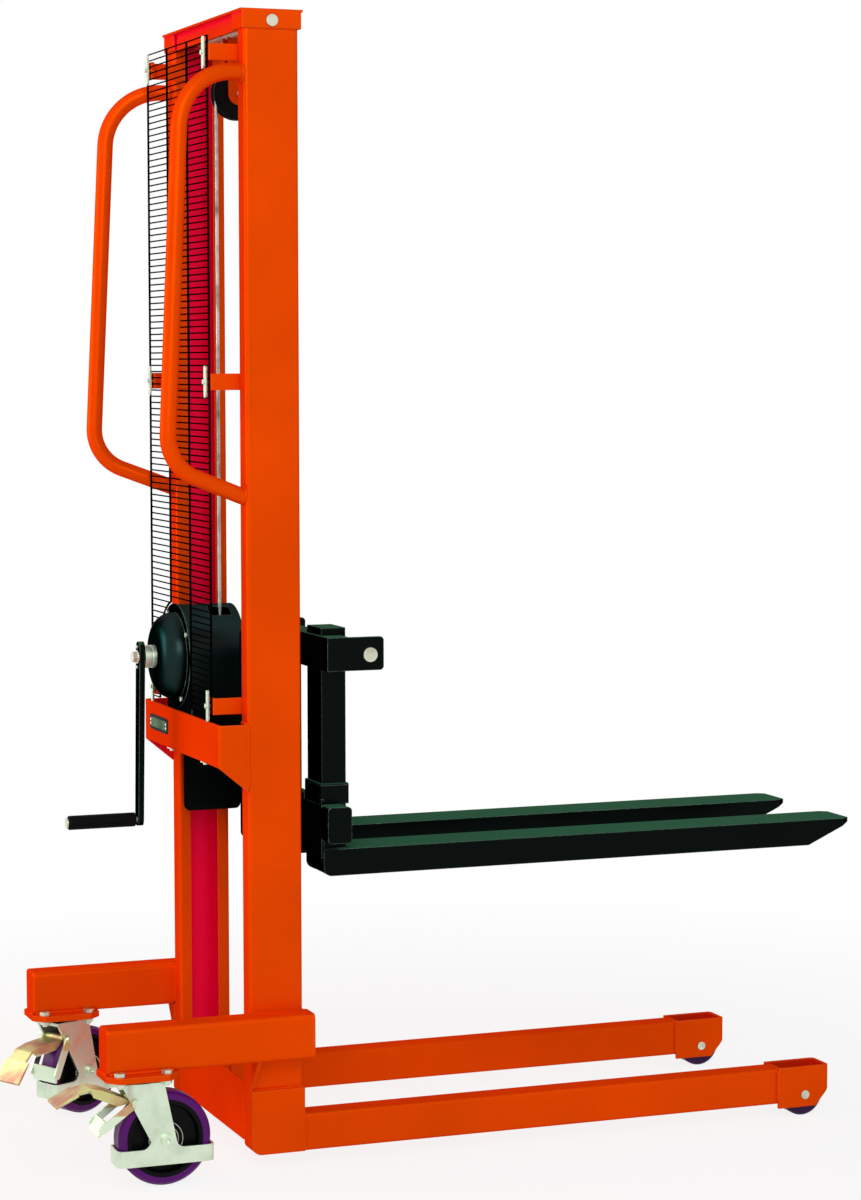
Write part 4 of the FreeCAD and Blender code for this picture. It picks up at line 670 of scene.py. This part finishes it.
class StackerWelds(bpy.types.Operator):
    """Run the weld beads along the seams of the frame and the carriage"""

    bl_idname = "stacker.welds"
    bl_label = "Weld beads"
    sink = 1.5              # how far a bead's middle lies from its corner
    inset = 4.0             # how far a bead stops short of an edge
    collar_rise = 23.0      # top of a fork's collar over the lower bar
    sides = 8
    swell = 0.14            # how much wider a ripple's crest is
    tip = 0.06              # share of the section's area that is left at an open end
    rings_per_ripple = 3
    fewest_rings = 8
    hoop_corners = 48

    def bead(self, corners, size, closed=False):
        """Weld bead along corner points in millimetres: a round section whose radius swells once in each
        ripple and draws in to a round nose at open ends. Returns its grid and whether it closes."""
        corners = np.asarray(corners, float)
        if closed:
            corners = np.concatenate([corners, corners[:1]])
        reach = run_along(corners)
        half, ripple = size.bead / MM, size.ripple / MM
        rings = max(self.fewest_rings, int(self.rings_per_ripple * reach[-1] / ripple))
        run = np.linspace(0, reach[-1], rings, endpoint=not closed)
        path = np.stack([np.interp(run, reach, corners[:, k]) for k in range(3)], 1)
        radius = half * (1 + self.swell * np.cos(FULL_TURN * run / ripple))
        if not closed:
            nose = np.clip(np.minimum(run, reach[-1] - run) / half, 0, 1)
            radius = radius * np.sqrt(self.tip + (1 - self.tip) * (1 - (1 - nose) ** 2))
        level = np.ptp(path[:, 2]) < 0.1
        grid = tube(place(path)[None], radius[None, :, None] * MM, self.sides, UP if level else AHEAD, closed)
        return grid, closed

    def hoop(self, centre, radius_y, radius_z):
        """Closed ring of corners across X: centre plus the two radii times a turning cosine and sine."""
        turn = around(self.hoop_corners)
        return np.asarray(centre, float) + xyz(0.0, radius_y * np.cos(turn), radius_z * np.sin(turn))

    def frame_seams(self):
        """Straight seams on the left side, each as its two ends."""
        sink, inset = self.sink, self.inset
        (rear, inner, foot), (front, outer, _) = span("mast_left")
        (beam_rear, beam_inner, beam_bottom), (_, beam_outer, beam_top) = span("rear_beam_left")
        _, leg_outer, leg_top = span("leg_left")[1]
        bracket_rear, _, bracket_bottom = span("roller_brackets")[0]
        plate_front, _, plate_top = span("caster_plates")[1]
        shelf_bottom, shelf_top = span("winch_shelf")[:, 2]
        base_bottom, base_top = span("base_crossbeam")[:, 2]
        base_outer = span("base_crossbeam")[1][1]
        shoe_top = span("mast_shoes")[1][2]
        gusset_front = span("beam_gussets")[1][0]
        # Mast shoe, gusset, and rear beam on the mast.
        seams = [xyz((rear + inset, front), outer, shoe_top),
                 xyz(gusset_front, outer, (shoe_top + inset, beam_bottom - inset)),
                 xyz(gusset_front, (outer + inset, beam_outer - 3 * inset), beam_bottom),
                 xyz(rear + sink, outer - sink, (beam_bottom + inset, beam_top - inset))]
        for z in (beam_bottom + 2 * sink, beam_top - 2 * sink):
            seams.append(xyz((rear + inset, front), outer + 2 * sink, z))
        # Leg on the mast.
        for y in (inner + sink, leg_outer - sink):
            seams.append(xyz(front + sink, y, (foot, leg_top - inset)))
        seams.append(xyz(front + sink, (inner + inset, leg_outer - inset), leg_top))
        # Roller bracket on the leg.
        for y in (inner - sink, leg_outer + sink):
            seams.append(xyz(bracket_rear, y, (bracket_bottom + 3 * inset, leg_top - inset)))
        # Caster plate under the beam.
        for y in (beam_inner + 2 * sink, beam_outer - 2 * sink):
            seams.append(xyz((beam_rear + inset, plate_front - inset), y, beam_bottom + sink))
        seams.append(xyz(beam_rear, (beam_inner + 2 * inset, beam_outer - 2 * inset), plate_top))
        # Winch shelf and base crossbeam on the mast.
        seams.append(xyz(rear + sink, outer - sink, (shelf_bottom + inset, shelf_top - sink)))
        seams.append(xyz(rear, (inner + inset, outer - inset), shelf_top))
        seams.append(xyz(rear + sink, base_outer, (base_bottom + inset, base_top - inset)))
        # Arms of the guard, at the heights where they end inside the mast.
        arms = points_of("guard_bars")
        for z in np.unique(arms[arms[:, 0] > arms[:, 0].max() - sink, 2].round(1)):
            seams.append(xyz((rear + inset, rear + 4 * inset), inner - sink, z))
        return seams

    def handle_rings(self, size):
        """Beads round the four feet of the push handles, measured where the tubes meet the mast."""
        rear = span("mast_left")[0][0]
        feet = points_of("handles")
        feet = feet[feet[:, 0] > rear - self.sink]
        middle = feet[:, 2].mean()
        rings = []
        for left in (feet[:, 1] > 0, feet[:, 1] < 0):
            for high in (feet[:, 2] > middle, feet[:, 2] < middle):
                foot = feet[left & high]
                half = np.ptp(foot, axis=0) / 2
                centre = (rear, *(foot.min(0) + half)[1:])
                rings.append(self.bead(self.hoop(centre, half[1], half[2]), size, True))
        return rings

    def carriage_beads(self, size):
        """Beads round the fork posts above their collars and across the blade roots."""
        inset = self.inset
        collar = span("lower_bar")[1][2] + self.collar_rise
        post = points_of("fork_left")
        blade_top = post[post[:, 0] > post[:, 0].max() - inset, 2].max()
        post = post[post[:, 2] > post[:, 2].max() - self.sink]
        (x0, y0, _), (x1, y1, _) = post.min(0) - self.sink, post.max(0) + self.sink
        ring = xyz((x0, x1, x1, x0), (y0, y0, y1, y1), collar)
        root = xyz(x1, (y0 + inset, y1 - inset), blade_top)
        beads = []
        for side in (-1, 1):
            beads += [self.bead(ring * (1, side, 1), size, True), self.bead(root * (1, side, 1), size)]
        return beads

    def execute(self, context):
        size = context.scene.stacker_sizes
        made = finishes()
        seams = self.frame_seams()
        beads = [self.bead(seam * (1, side, 1), size) for side in (-1, 1) for seam in seams]
        beads += self.handle_rings(size)
        piece("frame_welds", beads, made["Orange enamel"], "frame")
        beads = self.carriage_beads(size)
        piece("carriage_welds", beads, made["Black flake enamel"], "carriage")
        return {"FINISHED"}


class StackerCard(bpy.types.Operator):
    """Rivet the bare rating plate to the winch shelf"""

    bl_idname = "stacker.card"
    bl_label = "Rating plate"
    middle_y = 137.0        # plate's middle, to the left of the mast's middle
    drop = 36.0             # plate's middle under the shelf's top
    border = 5.5
    thick = 0.8
    rivet = 2.4             # radius of a rivet's head
    rivet_in = 1.9          # rivets from the plate's edge, in borders
    squareness = 0.2        # power that squares the outline's cosine and sine
    corners = 64
    rivet_sides = 16
    # How far back each row of the edge lies and how far it is drawn in, in thicknesses.
    edge_rows = ((0.0, 0.0), (0.7, 0.0), (1.0, 0.3))

    def sheet(self, middle, half_y, half_z, thick):
        """Thin sheet that faces rearwards: a near-square outline, cosine and sine to a small power,
        carried back by its thickness and drawn in a little at its outer edge."""
        turn = around(self.corners)
        across = np.sign(np.cos(turn)) * np.abs(np.cos(turn)) ** self.squareness
        down = -np.sign(np.sin(turn)) * np.abs(np.sin(turn)) ** self.squareness
        back, drawn_in = np.array(self.edge_rows).T[:, :, None] * thick
        offsets = xyz(-back, (half_y - drawn_in) * across, (half_z - drawn_in) * down)
        return place(np.asarray(middle, float) + offsets)[None], False

    def execute(self, context):
        size = context.scene.stacker_sizes
        made = finishes()
        shelf_low, shelf_high = span("winch_shelf")
        x, z = shelf_low[0], shelf_high[2] - self.drop
        half_y, half_z = size.card_width / MM / 2, size.card_height / MM / 2
        middle = (x, self.middle_y, z)
        border = self.sheet(middle, half_y, half_z, self.thick)
        piece("rating_plate_border", [border], made["Grip vinyl"], "frame")
        face = self.sheet(middle, half_y - self.border, half_z - self.border, 2 * self.thick)
        piece("rating_plate", [face], made["Anodised aluminium"], "frame")
        reach_y, reach_z = np.array((half_y, half_z)) - self.rivet_in * self.border
        centres = xyz(x - self.thick, self.middle_y + reach_y * np.array((-1, -1, 1, 1)),
                      z + reach_z * np.array((-1, 1, -1, 1)))
        dome = [(0, self.rivet), (1.0, self.rivet), (1.6, 0.8 * self.rivet), (1.9, 0.05)]
        heads = lathe(np.array(dome) * MM, place(centres), (-1, 0, 0), self.rivet_sides)
        piece("rating_plate_rivets", [(heads, False)], made["Bright zinc"], "frame")
        return {"FINISHED"}


class StackerBearings(bpy.types.Operator):
    """Press the bearing caps and their bright rings into the caster wheels"""

    bl_idname = "stacker.bearings"
    bl_label = "Wheel bearings"
    cap = (14.0, 30.0)      # inner and outer radius of a cap
    rings = (21.5, 29.2)    # radii of the bright rings
    ring_wire = 0.7         # radius of a ring's section
    lip = 1.0               # how far a cap's crown stands proud of the hub, and its edge sinks in
    cap_sides = 48
    ring_sides = 64
    section_sides = 10

    def execute(self, context):
        made = finishes()
        hub = np.ptp(span("caster_core_right"), axis=0)[1] / 2 * MM
        inner, outer = self.cap
        profile = [(-self.lip, outer), (0.5, outer), (self.lip, outer - 1.0),
                   (0.7, inner + 1.0), (0.0, inner), (-self.lip, inner)]
        turn = around(self.section_sides)
        wire = np.stack([self.lip + self.ring_wire * np.sin(turn), self.ring_wire * np.cos(turn)], 1)
        for side in ("left", "right"):
            roll = joint("caster_" + side + "_roll")
            axis, centre = np.array(roll["axis"]), np.array(roll["pos_m"])
            faces = [(way * axis, [centre + way * axis * hub]) for way in (-1, 1)]
            caps = [(lathe(np.array(profile) * MM, at, out, self.cap_sides), True) for out, at in faces]
            bright = [(lathe((wire + (0, radius)) * MM, at, out, self.ring_sides), True)
                      for out, at in faces for radius in self.rings]
            wheel = "caster_wheel_" + side
            piece("bearing_caps_" + side, caps, made["Black nylon"], wheel)
            piece("bearing_rings_" + side, bright, made["Turned steel"], wheel)
        return {"FINISHED"}


class StackerStageSet(bpy.types.Operator):
    """Set the floor, lights and camera"""

    bl_idname = "stacker.stage"
    bl_label = "Stage"
    # Camera: place in millimetres, angles in radians, focal length in pixels of the picture.
    eye = (-1598.6, -5136.2, 1375.9)
    yaw = 0.3662
    pitch = 0.0778
    roll = -0.0015
    focal_pixels = 3057.76
    picture_height = 1200
    sensor = 24.0
    sight = 100             # metres that the camera sees
    # Lamps: side in metres and place in millimetres; all face the same point of the truck.
    aim = (100, 0, 900)
    key_lamp = (2.6, (-1300, -4700, 3300))
    fill_lamp = (2.4, (-3600, 500, 2400))
    strip_lamp = (1.4, (-2900, 1600, 1500))
    # Floor: half its side, its grid lines and its depth under the wheels, in metres.
    floor_reach = 30
    floor_lines = 13
    floor_depth = 0.0004
    # The floor's own white rises from the first share to the second between these metres from the truck.
    glow_shares = (0.85, 1.0)
    glow_range = (0.9, 2.4)

    def camera(self, scene):
        """Camera solved from the photograph's straight edges: place, heading, tilt and focal length."""
        data = bpy.data.cameras.new("Camera")
        data.sensor_fit = "VERTICAL"
        data.sensor_height = self.sensor
        data.lens = self.focal_pixels / self.picture_height * self.sensor
        data.clip_end = self.sight
        eye = bpy.data.objects.new("Camera", data)
        scene.collection.objects.link(eye)
        heading = Matrix.Rotation(-self.yaw, 4, "Z")
        tilt = Matrix.Rotation(math.pi / 2 - self.pitch, 4, "X")
        level = Matrix.Rotation(self.roll, 4, "Z")
        eye.matrix_world = Matrix.Translation(Vector(place(self.eye))) @ heading @ tilt @ level
        scene.camera = eye

    def lamp(self, scene, name, watts, tint, side_and_place, lights=True, glints=True):
        """Square soft lamp that faces the truck. It lights dull faces, glints in gloss, or both."""
        data = bpy.data.lights.new(name, "AREA")
        data.energy = watts
        data.color = tint[:3]
        data.size, at = side_and_place
        lamp = bpy.data.objects.new(name, data)
        scene.collection.objects.link(lamp)
        lamp.visible_diffuse = lights
        lamp.visible_glossy = glints
        start, end = Vector(place(at)), Vector(place(self.aim))
        facing = (end - start).to_track_quat("-Z", "Y").to_matrix().to_4x4()
        lamp.matrix_world = Matrix.Translation(start) @ facing

    def seen(self, tree):
        """One where the eye, a reflection or a clear pane meets the surface, nothing where light does."""
        path = node(tree, "LightPath")
        share = path.outputs["Is Camera Ray"]
        for ray in ("Is Glossy Ray", "Is Transmission Ray"):
            share = node(tree, "Math", (share, path.outputs[ray]), operation="MAXIMUM").outputs[0]
        return share

    def floor(self, scene, tint):
        """Flat grid of pale floor that shows nearly white to the eye and in reflections, and keeps the
        truck's shadow."""
        material = bpy.data.materials.new("Studio floor")
        tree = bare_tree(material)
        where = node(tree, "TexCoord").outputs["Object"]
        away = node(tree, "VectorMath", (where,), operation="LENGTH").outputs["Value"]
        fade = node(tree, "MapRange", (away, *self.glow_range, *self.glow_shares))
        share = node(tree, "Math", (self.seen(tree), fade), operation="MULTIPLY")
        matt = node(tree, "BsdfDiffuse", {"Color": tint})
        glow = node(tree, "Emission", {"Color": (1, 1, 1, 1), "Strength": 1.0})
        both = node(tree, "MixShader", (share, matt, glow))
        node(tree, "OutputMaterial", {"Surface": both})
        lines = np.linspace(-self.floor_reach, self.floor_reach, self.floor_lines)
        xx, yy = np.meshgrid(lines, lines, indexing="ij")
        faces = quad_faces(1, self.floor_lines, self.floor_lines, False, False)[:, ::-1]
        mesh = bpy.data.meshes.new("studio_floor")
        mesh.from_pydata(xyz(xx, yy, -self.floor_depth).reshape(-1, 3).tolist(), [], faces.tolist())
        mesh.materials.append(material)
        made = bpy.data.objects.new("studio_floor", mesh)
        scene.collection.objects.link(made)

    def sky(self, scene, strength):
        """Even light all round, white where the eye or a reflection meets it."""
        world = bpy.data.worlds.new("Studio")
        scene.world = world
        tree = bare_tree(world)
        even = node(tree, "Background", {"Color": (1, 1, 1, 1), "Strength": strength})
        white = node(tree, "Background", {"Color": (1, 1, 1, 1), "Strength": 1.0})
        both = node(tree, "MixShader", (self.seen(tree), even, white))
        node(tree, "OutputWorld", {"Surface": both})

    def execute(self, context):
        scene = context.scene
        stage = scene.stacker_stage
        scene.view_settings.view_transform = "Standard"
        self.camera(scene)
        self.sky(scene, stage.sky)
        self.floor(scene, tuple(stage.floor))
        white = (1, 1, 1)
        self.lamp(scene, "Key", stage.key, white, self.key_lamp)
        self.lamp(scene, "Fill", stage.fill, tuple(stage.warmth), self.fill_lamp, glints=False)
        self.lamp(scene, "Strip", stage.strip, white, self.strip_lamp, lights=False)
        return {"FINISHED"}


class StackerPanel(bpy.types.Panel):
    """Lists the steps that dress the truck"""

    bl_idname = "VIEW3D_PT_stacker"
    bl_label = "Hand winch stacker"
    bl_space_type = "VIEW_3D"
    bl_region_type = "UI"
    bl_category = "Stacker"

    def draw(self, context):
        for step in STEPS:
            self.layout.operator(step.bl_idname)


STEPS = (StackerPaint, StackerGuard, StackerRope, StackerWelds, StackerCard, StackerBearings, StackerStageSet)
GROUPS = {"stacker_colours": StackerColours, "stacker_sizes": StackerSizes, "stacker_stage": StackerStage}


def register():
    """Register the groups, steps and panel."""
    for name, group in GROUPS.items():
        bpy.utils.register_class(group)
        setattr(bpy.types.Scene, name, PointerProperty(type=group))
    for step in STEPS:
        bpy.utils.register_class(step)
    bpy.utils.register_class(StackerPanel)


def unregister():
    """Take them out again."""
    bpy.utils.unregister_class(StackerPanel)
    for step in reversed(STEPS):
        bpy.utils.unregister_class(step)
    for name, group in GROUPS.items():
        delattr(bpy.types.Scene, name)
        bpy.utils.unregister_class(group)


def main():
    """Dress the truck step by step."""
    register()
    bpy.ops.stacker.paint()
    bpy.ops.stacker.guard()
    bpy.ops.stacker.rope()
    bpy.ops.stacker.welds()
    bpy.ops.stacker.card()
    bpy.ops.stacker.bearings()
    bpy.ops.stacker.stage()


if __name__ == "__main__":
    main()
